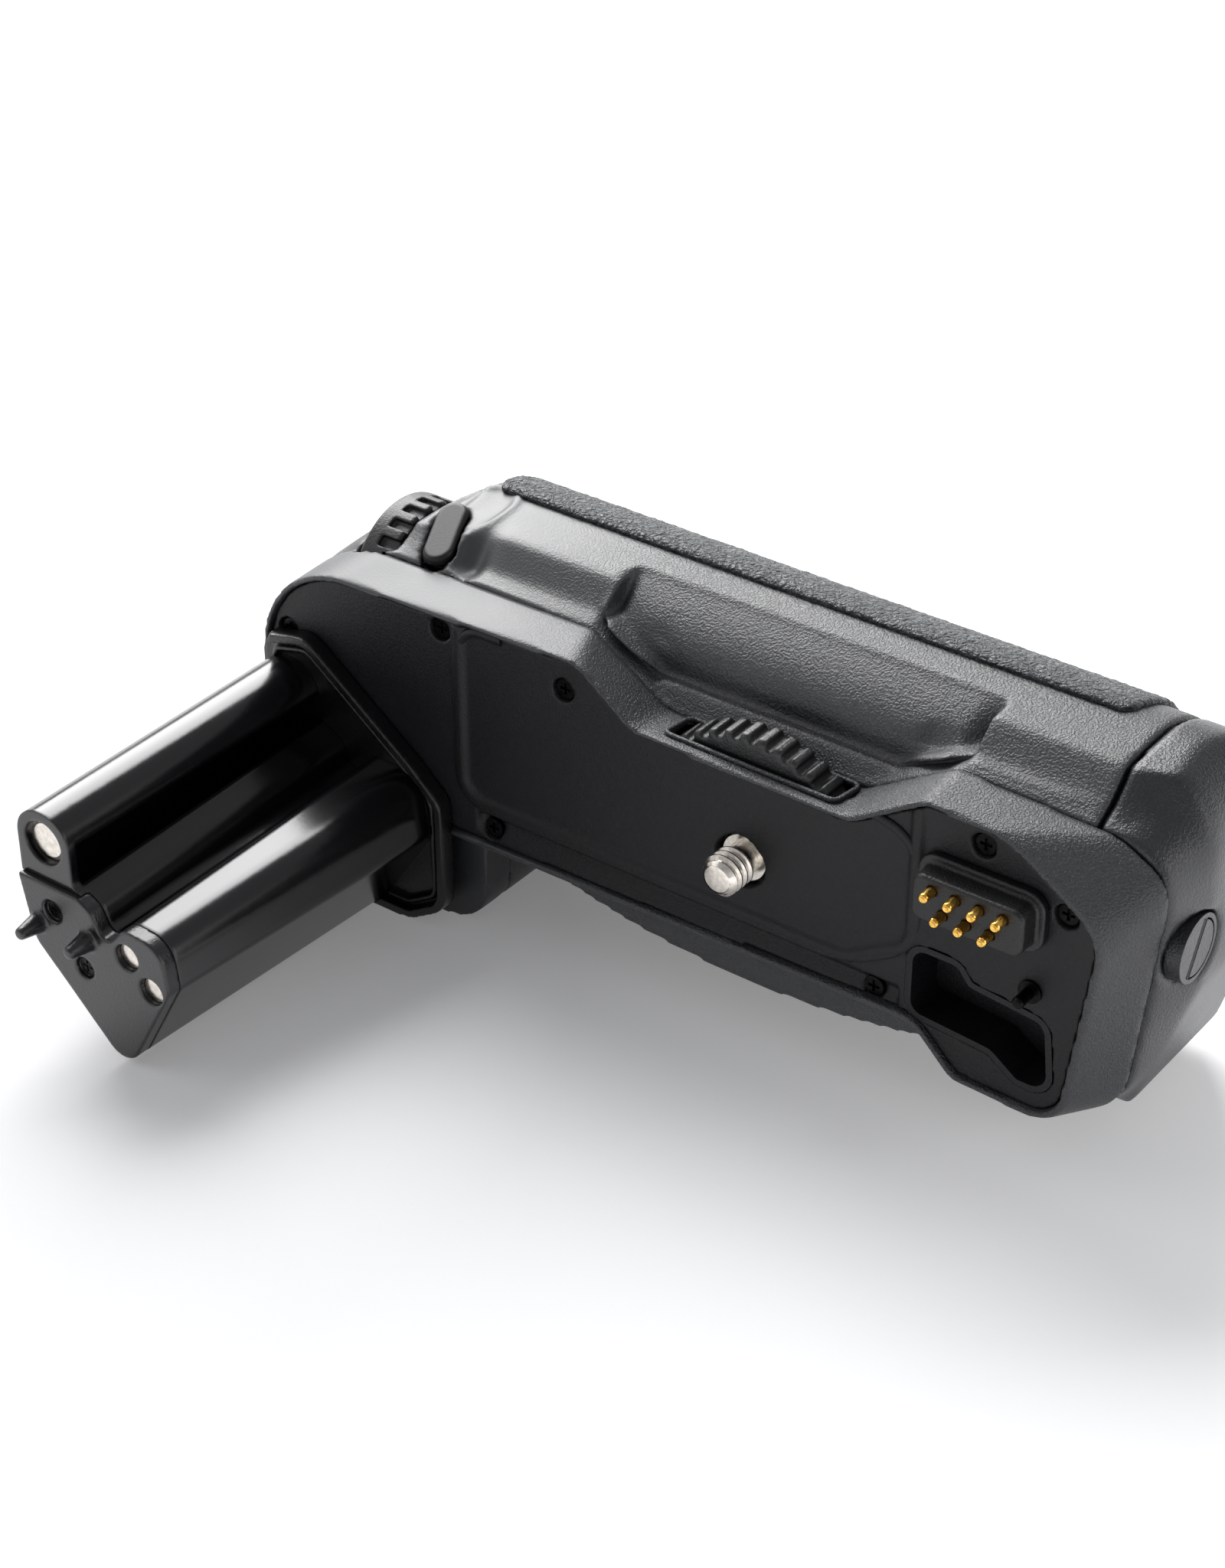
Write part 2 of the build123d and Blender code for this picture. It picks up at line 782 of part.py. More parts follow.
# Locating pin beside the pocket: it enters the camera's base and stops the grip turning.
locating_x = 48.1
locating_z = -1.6
locating_radius = 0.9
locating_reach = 3.0
with BuildPart() as locating_pin:
    with BuildSketch(front(plate_step)):
        with Locations((locating_x, locating_z)):
            Circle(2 * locating_radius)
    extrude(amount=locating_radius / 2)
    with BuildSketch(front(plate_step)):
        with Locations((locating_x, locating_z)):
            Circle(locating_radius)
    extrude(amount=plate_step + locating_reach)
    chamfer(faces().sort_by(Axis.Y)[0].edges(), length=locating_radius / 3)

# Connector block: a stepped moulding through the plate that holds the seven contact pins.
pin_radius = 0.75
pin_bore = 0.8
pin_head_radius = 1.15
pin_reach = 2.4
pin_travel = 1.2
pin_pitch = 3.7
upper_pin_z = 12.0
lower_pin_z = 8.75
upper_pin_x = 34.6
connector_back = 5.0
connector_foot = 1.2
connector_foot_height = 1.4
connector_chamfer = 0.36
pin_tail = 8.0
pin_head_thickness = 0.8
pin_places = [(upper_pin_x + pin_pitch * i, upper_pin_z) for i in range(4)]
pin_places += [(upper_pin_x + pin_pitch * (i + 0.5), lower_pin_z) for i in range(3)]

with BuildPart() as connector_block:
    with BuildSketch(front(-connector_reach)):
        with Locations((connector_x, connector_z)):
            RectangleRounded(connector_length, connector_width, connector_round)
    extrude(amount=-connector_reach - connector_back)
    chamfer(faces().sort_by(Axis.Y)[0].edges(), length=connector_chamfer)
    with BuildSketch(front(plate_step)):
        with Locations((connector_x, connector_z)):
            RectangleRounded(
                connector_length + 2 * connector_foot, connector_width + 2 * connector_foot,
                connector_round + connector_foot,
            )
    extrude(amount=connector_foot_height)
    with BuildSketch(front(-connector_reach)):
        with Locations(*pin_places):
            Circle(pin_bore)
    extrude(amount=-connector_reach - connector_back, mode=Mode.SUBTRACT)


def contact_pin(place):
    """One sprung contact pin: domed tip, shank and the head that stops it behind the block."""
    tip_y = -connector_reach - pin_reach
    with BuildPart() as pin:
        with BuildSketch(front(tip_y)):
            with Locations(place):
                Circle(pin_radius)
        extrude(amount=tip_y - pin_tail)
        chamfer(faces().sort_by(Axis.Y)[0].edges(), length=pin_radius / 3)
        with BuildSketch(front(connector_back + seat_gap)):
            with Locations(place):
                Circle(pin_head_radius)
        extrude(amount=-pin_head_thickness)
    return pin


# Circuit board behind the plate, on its posts, with the pins' springs between it and the block.
board_left = 15.0
board_right = 51.2
board_front = -12.5
board_back = 12.5
board_thickness = 1.0
chip_places = [(27.0, 0), (40.0, -4.0)]
chip_length = 8.0
chip_thickness = 1.5
with BuildPart() as circuit_board:
    with BuildSketch(front(board_y)):
        with Locations(((board_left + board_right) / 2, (board_back + board_front) / 2)):
            Rectangle(board_right - board_left, board_back - board_front)
    extrude(amount=-board_thickness)
    with BuildSketch(front(board_y)):
        with Locations(*pin_places):
            Circle(pin_head_radius)
    extrude(amount=board_y - pin_tail - pin_travel - seat_gap)
    with BuildSketch(front(board_y + board_thickness)):
        with Locations(*chip_places):
            Rectangle(chip_length, chip_length)
    extrude(amount=-chip_thickness)

# Camera screw and its toothed thumbwheel, turning in a bracket behind the base plate.
thread_reach = 5.0
undercut_radius = 2.55
undercut_length = 1.4
flange_radius = 3.95
flange_y = 1.9
wheel_front = 3.1
wheel_back = 8.1
journal_radius = 4.0
screw_back = 11.0
clip_y = 10.15
clip_thickness = 0.6
clip_groove = 3.3
clip_radius = 6.0
wheel_teeth = 42
tooth_depth = 1.1
tooth_width = 1.5
wheel_web = 2.2

with BuildPart() as camera_screw:
    with BuildSketch(front(-thread_reach)):
        Circle(thread_radius)
    extrude(amount=-thread_reach - flange_y + undercut_length)
    chamfer(faces().sort_by(Axis.Y)[0].edges(), length=thread_radius / 6)
    with BuildSketch(front(flange_y)):
        Circle(undercut_radius)
    extrude(amount=undercut_length)
    with BuildSketch(front(flange_y)):
        Circle(flange_radius)
    extrude(amount=flange_y - wheel_front)
    with BuildSketch(front(wheel_front)):
        Circle(journal_radius)
    extrude(amount=wheel_front - screw_back)
    with BuildSketch(front(clip_y)):
        Circle(journal_radius + cut_overrun)
        Circle(clip_groove, mode=Mode.SUBTRACT)
    extrude(amount=-clip_thickness, mode=Mode.SUBTRACT)

with BuildPart() as thumbwheel:
    with BuildSketch(front(wheel_front)):
        Circle(wheel_radius)
    extrude(amount=wheel_front - wheel_back)
    chamfer(edges().filter_by(GeomType.CIRCLE), length=tooth_depth / 2)
    with BuildSketch(front(wheel_front - cut_overrun)):
        with PolarLocations(wheel_radius, wheel_teeth, start_angle=360 / wheel_teeth / 2):
            Rectangle(2 * tooth_depth, wheel_radius * math.tau / wheel_teeth - tooth_width)
    extrude(amount=wheel_front - wheel_back - 2 * cut_overrun, mode=Mode.SUBTRACT)
    with BuildSketch(front(wheel_back)):
        Circle(wheel_radius - 2 * tooth_depth - wheel_web / 2)
        Circle(2 * journal_radius, mode=Mode.SUBTRACT)
    extrude(amount=wheel_back - wheel_front - wheel_web, mode=Mode.SUBTRACT)
    with BuildSketch(front(wheel_front)):
        Circle(journal_radius)
    extrude(amount=wheel_front - wheel_back, mode=Mode.SUBTRACT)

bracket_thickness = 1.0
bracket_width = 14.0
bracket_end = 3.0
washer_radius = 7.2
with BuildPart() as wheel_bracket:
    with BuildSketch(front(bracket_y)):
        SlotOverall(2 * (post_x + bracket_end), bracket_width / 2)
        Circle(bracket_width / 2)
        Circle(journal_radius + running_clearance, mode=Mode.SUBTRACT)
    extrude(amount=-bracket_thickness)
with BuildPart() as screw_clip:
    with BuildSketch(front(clip_y)):
        Circle(clip_radius)
        Circle(clip_groove, mode=Mode.SUBTRACT)
        with Locations((0, -clip_radius)):
            Rectangle(clip_groove, 2 * clip_groove, mode=Mode.SUBTRACT)
    extrude(amount=-clip_thickness)
with BuildPart() as wheel_washer:
    with BuildSketch(front(wheel_back + seat_gap / 2)):
        Circle(washer_radius)
        Circle(journal_radius + seat_gap, mode=Mode.SUBTRACT)
    extrude(amount=wheel_back + seat_gap - bracket_y)

# Tower: it fills the battery chamber of the camera. Three barrels run its length, and it narrows.
tower_length = 54.0
tower_wall = 1.5
tower_root_shares = [
    (0, 0.157), (0.38, 0.157), (0.38, -0.15), (0.53, -0.23), (0.6, -0.42), (0.74, -0.243),
    (1.1, -0.25), (1.135, -0.57), (0.7, -1.215), (0.035, -0.63), (0, -0.27),
]
tower_tip_shares = [
    (0.015, 0.137), (0.36, 0.137), (0.36, -0.225), (0.50, -0.3), (0.58, -0.46), (0.72, -0.31),
    (0.965, -0.325), (0.995, -0.58), (0.66, -1.195), (0.085, -0.63), (0.015, -0.27),
]
tower_middle_shares = (0.5, -0.45)
tower_root_radius_shares = [0.18, 0.18, 0.05, 0.1, 0.05, 0.1, 0.2, 0.1, 0.13, 0.13, 0.1]
tower_tip_radius_shares = [0.165, 0.165, 0.04, 0.09, 0.05, 0.09, 0.15, 0.09, 0.12, 0.12, 0.08]


def tower_face(shares, radius_shares, grow):
    """One end of the tower, drawn in by a share of its width about its middle."""
    middle_x, middle_z = tower_middle_shares
    points = [
        (
            tower_left + tower_width * (middle_x + (sx - middle_x) * grow),
            tower_width * (middle_z + (sz - middle_z) * grow),
        )
        for sx, sz in shares
    ]
    return outline(points, [share * tower_width * grow for share in radius_shares])


tower_root_y = -0.4
tower_hollow_share = 0.88
cover_thickness = 1.6
cover_top = -7.7
cover_proud = 1.0
cover_gap = 0.05
large_contact = (-84.6, -1.2)
small_contacts = [(-68.4, -14.2), (-64.0, -18.4)]
large_hole_radius = 3.7
small_hole_radius = 2.2
tower_peg_places = [(-86.3, -15.3), (-76.2, -14.4)]
tower_screw_places = [(-77.6, -20.0), (-83.2, -12.2)]
tower_screw_radius = 1.5
tip_y = tower_root_y - tower_length

with BuildPart() as tower_solid:
    with BuildSketch(front(tower_root_y)):
        add(tower_face(tower_root_shares, tower_root_radius_shares, 1))
    with BuildSketch(front(tip_y)):
        add(tower_face(tower_tip_shares, tower_tip_radius_shares, 1))
    loft(ruled=True)
with BuildPart() as tower_hollow:
    with BuildSketch(front(tower_root_y)):
        add(tower_face(tower_root_shares, tower_root_radius_shares, tower_hollow_share))
    with BuildSketch(front(tip_y + tower_wall)):
        add(tower_face(tower_tip_shares, tower_tip_radius_shares, tower_hollow_share))
    loft(ruled=True)

with BuildPart() as tower_shell:
    add(tower_solid.part)
    add(tower_hollow.part, mode=Mode.SUBTRACT)
    with BuildSketch(front(tip_y)):
        with Locations((tower_left + tower_width / 2, cover_top - tower_width)):
            Rectangle(2 * tower_width, 2 * tower_width)
    extrude(amount=-cover_thickness, mode=Mode.SUBTRACT)
    with BuildSketch(front(tip_y)):
        with Locations(large_contact):
            Circle(large_hole_radius)
    extrude(amount=-2 * tower_wall, mode=Mode.SUBTRACT)

with BuildPart() as tower_cover_plate:
    with BuildSketch(front(tip_y - cover_proud)):
        add(tower_face(tower_tip_shares, tower_tip_radius_shares, 1))
        with Locations((tower_left + tower_width / 2, cover_top - cover_gap - tower_width)):
            Rectangle(2 * tower_width, 2 * tower_width, mode=Mode.INTERSECT)
    extrude(amount=-cover_proud - cover_thickness)
    with BuildSketch(front(tip_y - cover_proud)):
        with Locations(*small_contacts):
            Circle(small_hole_radius)
    extrude(amount=-cover_proud - cover_thickness, mode=Mode.SUBTRACT)
    with BuildSketch(front(tip_y - cover_proud)):
        with Locations(*tower_screw_places):
            Circle(tower_screw_radius + seat_gap)
    extrude(amount=-cover_proud, mode=Mode.SUBTRACT)
peg_reach = 4.3
peg_root_radius = 1.7
peg_tip_radius = 0.9
peg_taper = math.degrees(math.atan((peg_root_radius - peg_tip_radius) / peg_reach))
with BuildPart() as tower_pegs:
    with BuildSketch(front(tip_y - cover_proud)):
        with Locations(*tower_peg_places):
            Circle(peg_root_radius)
    extrude(amount=peg_reach, taper=peg_taper)
    fillet(faces().sort_by(Axis.Y)[0].edges(), radius=peg_tip_radius / 2)
    fillet(faces().sort_by(Axis.Y)[1].edges(), radius=peg_tip_radius / 2)
with BuildPart() as tower_cover:
    add(tower_cover_plate.part)
    add(tower_pegs.part)

tower_disc_thickness = 0.8
large_disc_radius = 2.8
small_disc_radius = 1.8
disc_depth = 0.6
with BuildPart() as tower_contacts:
    disc_y = tip_y + tower_wall + seat_gap / 3
    with BuildSketch(front(disc_y)):
        with Locations(large_contact):
            Circle(large_hole_radius)
    extrude(amount=-tower_disc_thickness)
    with BuildSketch(front(disc_y)):
        with Locations(large_contact):
            Circle(large_disc_radius)
    extrude(amount=disc_depth)
    with BuildSketch(front(tip_y + cover_thickness)):
        with Locations(*small_contacts):
            Circle(small_hole_radius - seat_gap / 3)
    extrude(amount=2 * tower_disc_thickness)
with BuildPart() as tower_screws:
    head_y = tip_y - seat_gap
    with BuildSketch(front(head_y)):
        with Locations(*tower_screw_places):
            Circle(tower_screw_radius)
    extrude(amount=-seat_gap)
    with BuildSketch(front(head_y)):
        with Locations(*tower_screw_places):
            Rectangle(cross_length, cross_width)
            Rectangle(cross_width, cross_length)
    extrude(amount=-seat_gap / 2, mode=Mode.SUBTRACT)

# Collar round the foot of the tower: a floor, a raised lip and an inner skirt.
collar_lip_width = 1.5
collar_lip = 1.7
skirt_gap = 0.8
skirt_width = 0.8
skirt_height = 1.0
lip_cut_reach = 2.7
lip_cut_x = tower_left + lip_cut_reach
with BuildPart() as tower_collar:
    with BuildSketch(front(tower_root_y)):
        add(collar_face)
    extrude(amount=tower_root_y - bulge_face_y)
    add(block(
        (tower_left - tower_width, plate_step, -plate_width),
        (tower_left + 2 * tower_width, bulge_face_y + cut_overrun, plate_width),
    ), mode=Mode.SUBTRACT)
    with BuildSketch(front(tower_root_y)):
        add(collar_face)
        add(inset(collar_face, collar_lip_width), mode=Mode.SUBTRACT)
    extrude(amount=collar_lip)
    with BuildSketch(front(tower_root_y)):
        add(inset(collar_face, collar_lip_width + skirt_gap))
        add(inset(collar_face, collar_lip_width + skirt_gap + skirt_width), mode=Mode.SUBTRACT)
    extrude(amount=skirt_height)
    add(block(
        (tower_left - tower_width, tower_root_y - 2 * collar_lip, -2 * tower_width),
        (lip_cut_x, tower_root_y, tower_width / 2),
    ), mode=Mode.SUBTRACT)
    add(tower_solid.part, mode=Mode.SUBTRACT)

# Rear button's heights, from its top down to its board.
button_top = 28.9
button_flange_z = 21.9
dome_height = 2.0
dome_taper = 15.0
small_board_thickness = 1.2
small_board_length = 13.0
small_board_front = 9.6
flange_thickness = 1.0
button_board_top = button_flange_z - flange_thickness - seat_gap / 3 - dome_height

# Lengths of the battery tray and its chamber, from the door inwards: two cells end to end.
tray_door_wall = 3.9
tray_end_wall = 1.0
tray_inner_right = door_seam + seam_gap - tray_door_wall
cell_middle = tray_inner_right - 2 * seat_gap - cell_length
cell_left = cell_middle - seat_gap - cell_length
tray_left = cell_left - 2 * seat_gap - tray_end_wall
chamber_end_room = 3.6
chamber_mouth_gap = 0.5
chamber_left = tray_left - chamber_end_room
chamber_right = door_seam - chamber_mouth_gap

# Dials: a toothed drum on a steel axle, in a bracket under the shell.
axle_radius = 1.5
axle_overhang = 1.6
cheek_gap = 0.35
cheek_thickness = 1.1
dial_teeth = 22
dial_tooth_depth = 1.0
dial_smooth_width = 2.6


def dial_drum(y, z, radius):
    """One dial: blocks for teeth on one side, a smooth shoulder on the other."""
    with BuildPart() as drum:
        with BuildSketch(side(dial_left)):
            with Locations((y, z)):
                Circle(radius)
        extrude(amount=dial_right - dial_left)
        chamfer(edges().filter_by(GeomType.CIRCLE), length=dial_tooth_depth / 3)
        with BuildSketch(side(dial_left + dial_smooth_width)):
            with Locations((y, z)):
                with PolarLocations(radius, dial_teeth):
                    Rectangle(2 * dial_tooth_depth, radius * math.pi / dial_teeth)
        extrude(amount=dial_right - dial_left, mode=Mode.SUBTRACT)
        with BuildSketch(side(dial_left)):
            with Locations((y, z)):
                Circle(axle_radius + running_clearance)
        extrude(amount=dial_right - dial_left, mode=Mode.SUBTRACT)
    return drum


def dial_axle(y, z):
    """The steel axle of a dial, through both cheeks of its bracket."""
    reach = cheek_gap + cheek_thickness + axle_overhang / 4
    with BuildPart() as axle:
        with BuildSketch(side(dial_left - reach)):
            with Locations((y, z)):
                Circle(axle_radius)
        extrude(amount=dial_right - dial_left + 2 * reach)
    return axle


def cheeks(points):
    """Two bearing cheeks beside a dial, from one outline in the side plane, with the axle's holes."""
    with BuildPart() as pair:
        for x in (dial_left - cheek_gap - cheek_thickness, dial_right + cheek_gap):
            with BuildSketch(side(x)):
                add(outline(points, 0))
            extrude(amount=cheek_thickness)
    return pair.part


def bore(piece, y, z):
    """The same piece with the axle's hole through it."""
    reach = 2 * (cheek_gap + cheek_thickness)
    with BuildPart() as drilled:
        add(piece)
        with BuildSketch(side(dial_left - reach)):
            with Locations((y, z)):
                Circle(axle_radius)
        extrude(amount=dial_right - dial_left + 2 * reach, mode=Mode.SUBTRACT)
    return drilled


main_dial = dial_drum(dial_y, dial_z, dial_radius)
front_dial = dial_drum(front_dial_y, front_dial_z, front_dial_radius)
main_dial_axle = dial_axle(dial_y, dial_z)
front_dial_axle = dial_axle(front_dial_y, front_dial_z)

# The main dial's bracket stands on the back of the mating plate. Its right cheek carries a board.
axle_margin = 0.6
cheek_low = 6.0
bridge_thickness = 1.6
tab_low = 12.0
tab_high = 18.0
main_cheek_top = dial_z + axle_radius + axle_margin
main_points = [
    (plate_back, dial_z - cheek_low), (dial_y + axle_radius + axle_margin, dial_z - cheek_low),
    (dial_y + axle_radius + axle_margin, main_cheek_top), (plate_back, main_cheek_top),
]
with BuildPart() as main_dial_frame:
    add(cheeks(main_points))
    add(block(
        (dial_left - cheek_gap, plate_back, dial_z - cheek_low),
        (dial_right + cheek_gap, plate_back + bridge_thickness, main_cheek_top),
    ))
    add(block(
        (dial_right + cheek_gap, tab_low, dial_z),
        (dial_right + cheek_gap + cheek_thickness, tab_high, button_board_top),
    ))
main_dial_bracket = bore(main_dial_frame.part, dial_y, dial_z)

# The front dial's cheeks stand on the inside of the front wall.
foot_back = 6.5
foot_front = 3.0
cheek_floor = wall - middle_front
front_points = [
    (front_dial_y - 2 * axle_radius, front_dial_z + 2 * axle_radius),
    (front_dial_y + foot_back, front_dial_z + 2 * axle_radius),
    (front_dial_y + foot_back, cheek_floor),
    (front_dial_y + foot_front, cheek_floor),
    (front_dial_y + foot_front, front_dial_z - axle_radius - axle_margin),
    (front_dial_y - 2 * axle_radius, front_dial_z - axle_radius - axle_margin),
]
front_dial_bracket = bore(cheeks(front_points), front_dial_y, front_dial_z)

# Rear button beside the main dial: a pill on a captive flange, over a rubber dome on its board.
pill_bottom = 23.2
pill_round = 0.7
button_stem = 6.0
flange_length = 6.8
flange_width = 6.6
button_slope = 21.0
button_slope_plane = Plane(
    origin=(button_x, button_y + button_length / 2, button_top),
    x_dir=(1, 0, 0),
    z_dir=(0, -math.sin(math.radians(button_slope)), math.cos(math.radians(button_slope))),
)
with BuildPart() as button_slope_cut:
    with BuildSketch(button_slope_plane):
        Rectangle(4 * button_length, 4 * button_length)
    extrude(amount=button_length)
button_slope_body = button_slope_cut.part
with BuildPart() as rear_button:
    with BuildSketch(top(pill_bottom)):
        with Locations((button_x, button_y)):
            SlotOverall(button_length, button_width, rotation=button_turn)
    extrude(amount=button_top - pill_bottom)
    add(button_slope_body, mode=Mode.SUBTRACT)
    fillet(faces().sort_by(Axis.Z)[-1].edges(), radius=pill_round)
    with BuildSketch(top(button_flange_z)):
        with Locations((button_x, button_y)):
            SlotOverall(button_stem, button_width / 2, rotation=button_turn)
    extrude(amount=pill_bottom - button_flange_z)
    with BuildSketch(top(button_flange_z - flange_thickness)):
        with Locations((button_x, button_y)):
            SlotOverall(flange_length, flange_width, rotation=button_turn)
    extrude(amount=flange_thickness)
with BuildPart() as button_dome:
    with BuildSketch(top(button_board_top)):
        with Locations((button_x, button_y)):
            Circle(button_width / 2)
    extrude(amount=dome_height, taper=dome_taper)
with BuildPart() as button_board:
    add(block(
        (
            dial_right + cheek_gap + cheek_thickness, small_board_front,
            button_board_top - small_board_thickness,
        ),
        (chamber_left - seat_gap, small_board_front + small_board_length, button_board_top),
    ))

# Shutter release: button, lock collar and switch.
release_travel = 1.0
release_proud = 1.9
release_round = 0.8
release_inner_reach = 4.6
button_inner_x = left_end + release_inner_reach
release_flange = 5.6
release_flange_thickness = 0.9
collar_bottom_gap = 0.3
lever_width = 3.2
lever_reach = 2.2
switch_depth = 3.0
switch_width = 10.0
switch_leg = 1.0
switch_leg_offset = 3.5
switch_foot_z = -29.4
with BuildPart() as lock_collar:
    with BuildSketch(side(left_end + release_recess - collar_bottom_gap)):
        with Locations((release_y, release_z)):
            Circle(collar_radius)
    extrude(amount=collar_bottom_gap - release_recess - collar_height)
    chamfer(faces().sort_by(Axis.X)[0].edges(), length=collar_height / 3)
    with BuildSketch(side(left_end - collar_height)):
        with Locations((release_y, release_z - collar_radius)):
            Rectangle(lever_width, 2 * lever_reach)
    extrude(amount=collar_height / 2)
    with BuildSketch(side(left_end)):
        with Locations((release_y, release_z)):
            Circle(collar_tube_radius)
    extrude(amount=button_inner_x - left_end - seat_gap)
    with BuildSketch(side(left_end - 2 * collar_height)):
        with Locations((release_y, release_z)):
            Circle(release_button_radius + running_clearance)
    extrude(amount=4 * collar_height + wall, mode=Mode.SUBTRACT)
with BuildPart() as shutter_button:
    with BuildSketch(side(left_end - collar_height - release_proud)):
        with Locations((release_y, release_z)):
            Circle(release_button_radius)
    extrude(amount=collar_height + release_proud + button_inner_x - left_end)
    fillet(faces().sort_by(Axis.X)[0].edges(), radius=release_round)
    with BuildSketch(side(button_inner_x)):
        with Locations((release_y, release_z)):
            Circle(release_flange)
    extrude(amount=release_flange_thickness)
with BuildPart() as release_switch:
    switch_x = button_inner_x + release_flange_thickness + release_travel + seat_gap
    add(block(
        (switch_x, release_y - switch_width / 2, release_z - switch_width / 2),
        (switch_x + switch_depth, release_y + switch_width / 2, release_z + switch_width / 2),
    ))
    add(block(
        (switch_x + switch_depth - switch_leg, release_y + switch_leg_offset, switch_foot_z),
        (switch_x + switch_depth, release_y + switch_width / 2, release_z),
    ))

# Battery chamber: a closed tube for the tray, with its corners cut to lie inside the shell.
chamber_front_y = 20.9
chamber_low = -28.6
chamber_high = 21.0
chamber_wall = 1.2
chamber_cut_front = 6.5
chamber_cut_back = 4.0
chamber_points = [
    (chamber_front_y, chamber_low + chamber_cut_front), (chamber_front_y, chamber_high),
    (chamber_back_y - chamber_cut_back, chamber_high),
    (chamber_back_y, chamber_high - chamber_cut_back), (chamber_back_y, chamber_low),
    (chamber_front_y + chamber_cut_front, chamber_low),
]
chamber_face = outline(chamber_points, 0)
chamber_rib_x = [-40.0, 28.0]
chamber_rib_width = 3.0
chamber_rib_low = -22.0
chamber_rib_high = 8.0
lug_reach = 2.9
lug_thickness = 1.6
lug_left = door_seam + lug_reach
lug_right = lug_left + lug_thickness
lug_low = -3.0
lug_high = -0.3
lug_front = 13.0
lug_root_reach = 5.5
lug_root = door_seam - lug_root_reach
tongue_thickness = 1.6
with BuildPart() as battery_chamber:
    with BuildSketch(side(chamber_left)):
        add(chamber_face)
    extrude(amount=chamber_right - chamber_left)
    with BuildSketch(side(chamber_left + chamber_wall)):
        add(inset(chamber_face, chamber_wall))
    extrude(amount=chamber_right - chamber_left, mode=Mode.SUBTRACT)
    for x in chamber_rib_x:
        add(block(
            (x - chamber_rib_width / 2, chamber_back_y, chamber_rib_low),
            (x + chamber_rib_width / 2, body_height - wall, chamber_rib_high),
        ))
    add(block(
        (lug_root, chamber_front_y - tongue_thickness, lug_low),
        (lug_right, chamber_front_y, lug_high),
    ))
    add(block((lug_left, lug_front, lug_low), (lug_right, chamber_front_y, lug_high)))

# Battery tray: three long channels for six cells, on the end of the battery door.
tray_gap = 0.4
cell_gap = 0.1
cell_y = 30.4
cell_pitch = 15.0
cell_low_z = -18.8
cell_places = [(cell_y, cell_low_z + cell_pitch * i) for i in range(3)]
tray_front_y = cell_y
contact_thickness = 0.5
end_wall_height = 6.0
tray_face = inset(chamber_face, chamber_wall + tray_gap)
with BuildPart() as battery_tray:
    with BuildSketch(side(tray_left)):
        add(tray_face)
        with Locations((tray_front_y - body_height / 2, 0)):
            Rectangle(body_height, 2 * body_height, mode=Mode.SUBTRACT)
    extrude(amount=door_seam + seam_gap - tray_left)
    for x, far in ((tray_left, tray_left + tray_end_wall), (tray_inner_right, door_seam + seam_gap)):
        with BuildSketch(side(x)):
            add(tray_face)
            with Locations((tray_front_y - end_wall_height - body_height / 2, 0)):
                Rectangle(body_height, 2 * body_height, mode=Mode.SUBTRACT)
        extrude(amount=far - x)
    with BuildSketch(side(tray_left + tray_end_wall)):
        with Locations(*cell_places):
            Circle(cell_radius + cell_gap)
    extrude(amount=tray_inner_right - tray_left - tray_end_wall, mode=Mode.SUBTRACT)

# Tray contacts: nickel plates at both ends of each channel.
with BuildPart() as tray_contacts:
    for x in (tray_left + tray_end_wall, tray_inner_right - contact_thickness):
        with BuildSketch(side(x)):
            with Locations(*cell_places):
                Rectangle(cell_radius, cell_radius)
        extrude(amount=contact_thickness)

# Sprung plates at the closed end of the chamber, which meet the tray.
with BuildPart() as chamber_contacts:
    with BuildSketch(side(chamber_left + chamber_wall)):
        with Locations(*cell_places):
            Rectangle(cell_radius, cell_radius)
    extrude(amount=tray_left - chamber_left - chamber_wall - seat_gap)

cell_cap_radius = 2.75
cell_cap = 1.0
cell_edge = 0.5


def cell(place, left):
    """One AA cell with its raised positive end."""
    with BuildPart() as one:
        with BuildSketch(side(left)):
            with Locations(place):
                Circle(cell_radius)
        extrude(amount=cell_length - cell_cap)
        chamfer(edges().filter_by(GeomType.CIRCLE), length=cell_edge)
        with BuildSketch(side(left + cell_length - cell_cap)):
            with Locations(place):
                Circle(cell_cap_radius)
        extrude(amount=cell_cap)
    return one


# Lock knob on the door, its cam behind the chamber's lug, and the half-moon handle folded into it.
handle_turn = 64.0
handle_radius = 4.2
handle_gap = 0.3
handle_thickness = 1.2
hinge_radius = 0.5
hinge_gap = 0.06
hinge_overhang = 0.5
cam_length = 5.6
cam_width = 3.6
cam_hub = 3.6
cam_reach = 1.1
cam_left = door_seam + cam_reach
cam_thickness = 1.4
knob_face_x = right_end - seat_gap
hinge_x = knob_face_x - handle_thickness / 2
chord = (math.cos(math.radians(handle_turn)), math.sin(math.radians(handle_turn)))
hinge_plane = Plane(
    origin=(
        hinge_x,
        knob_y - chord[0] * (handle_radius + hinge_overhang),
        knob_z - chord[1] * (handle_radius + hinge_overhang),
    ),
    x_dir=(1, 0, 0),
    z_dir=(0, chord[0], chord[1]),
)


def half_disc(radius, extra):
    """Half disc on the far side of the handle's hinge line, and a strip of the near side."""
    with BuildSketch() as face:
        Circle(radius)
        with Locations((
            -chord[1] * (2 * radius + extra), chord[0] * (2 * radius + extra)
        )):
            Rectangle(4 * radius, 4 * radius, rotation=handle_turn, mode=Mode.SUBTRACT)
    return face.sketch


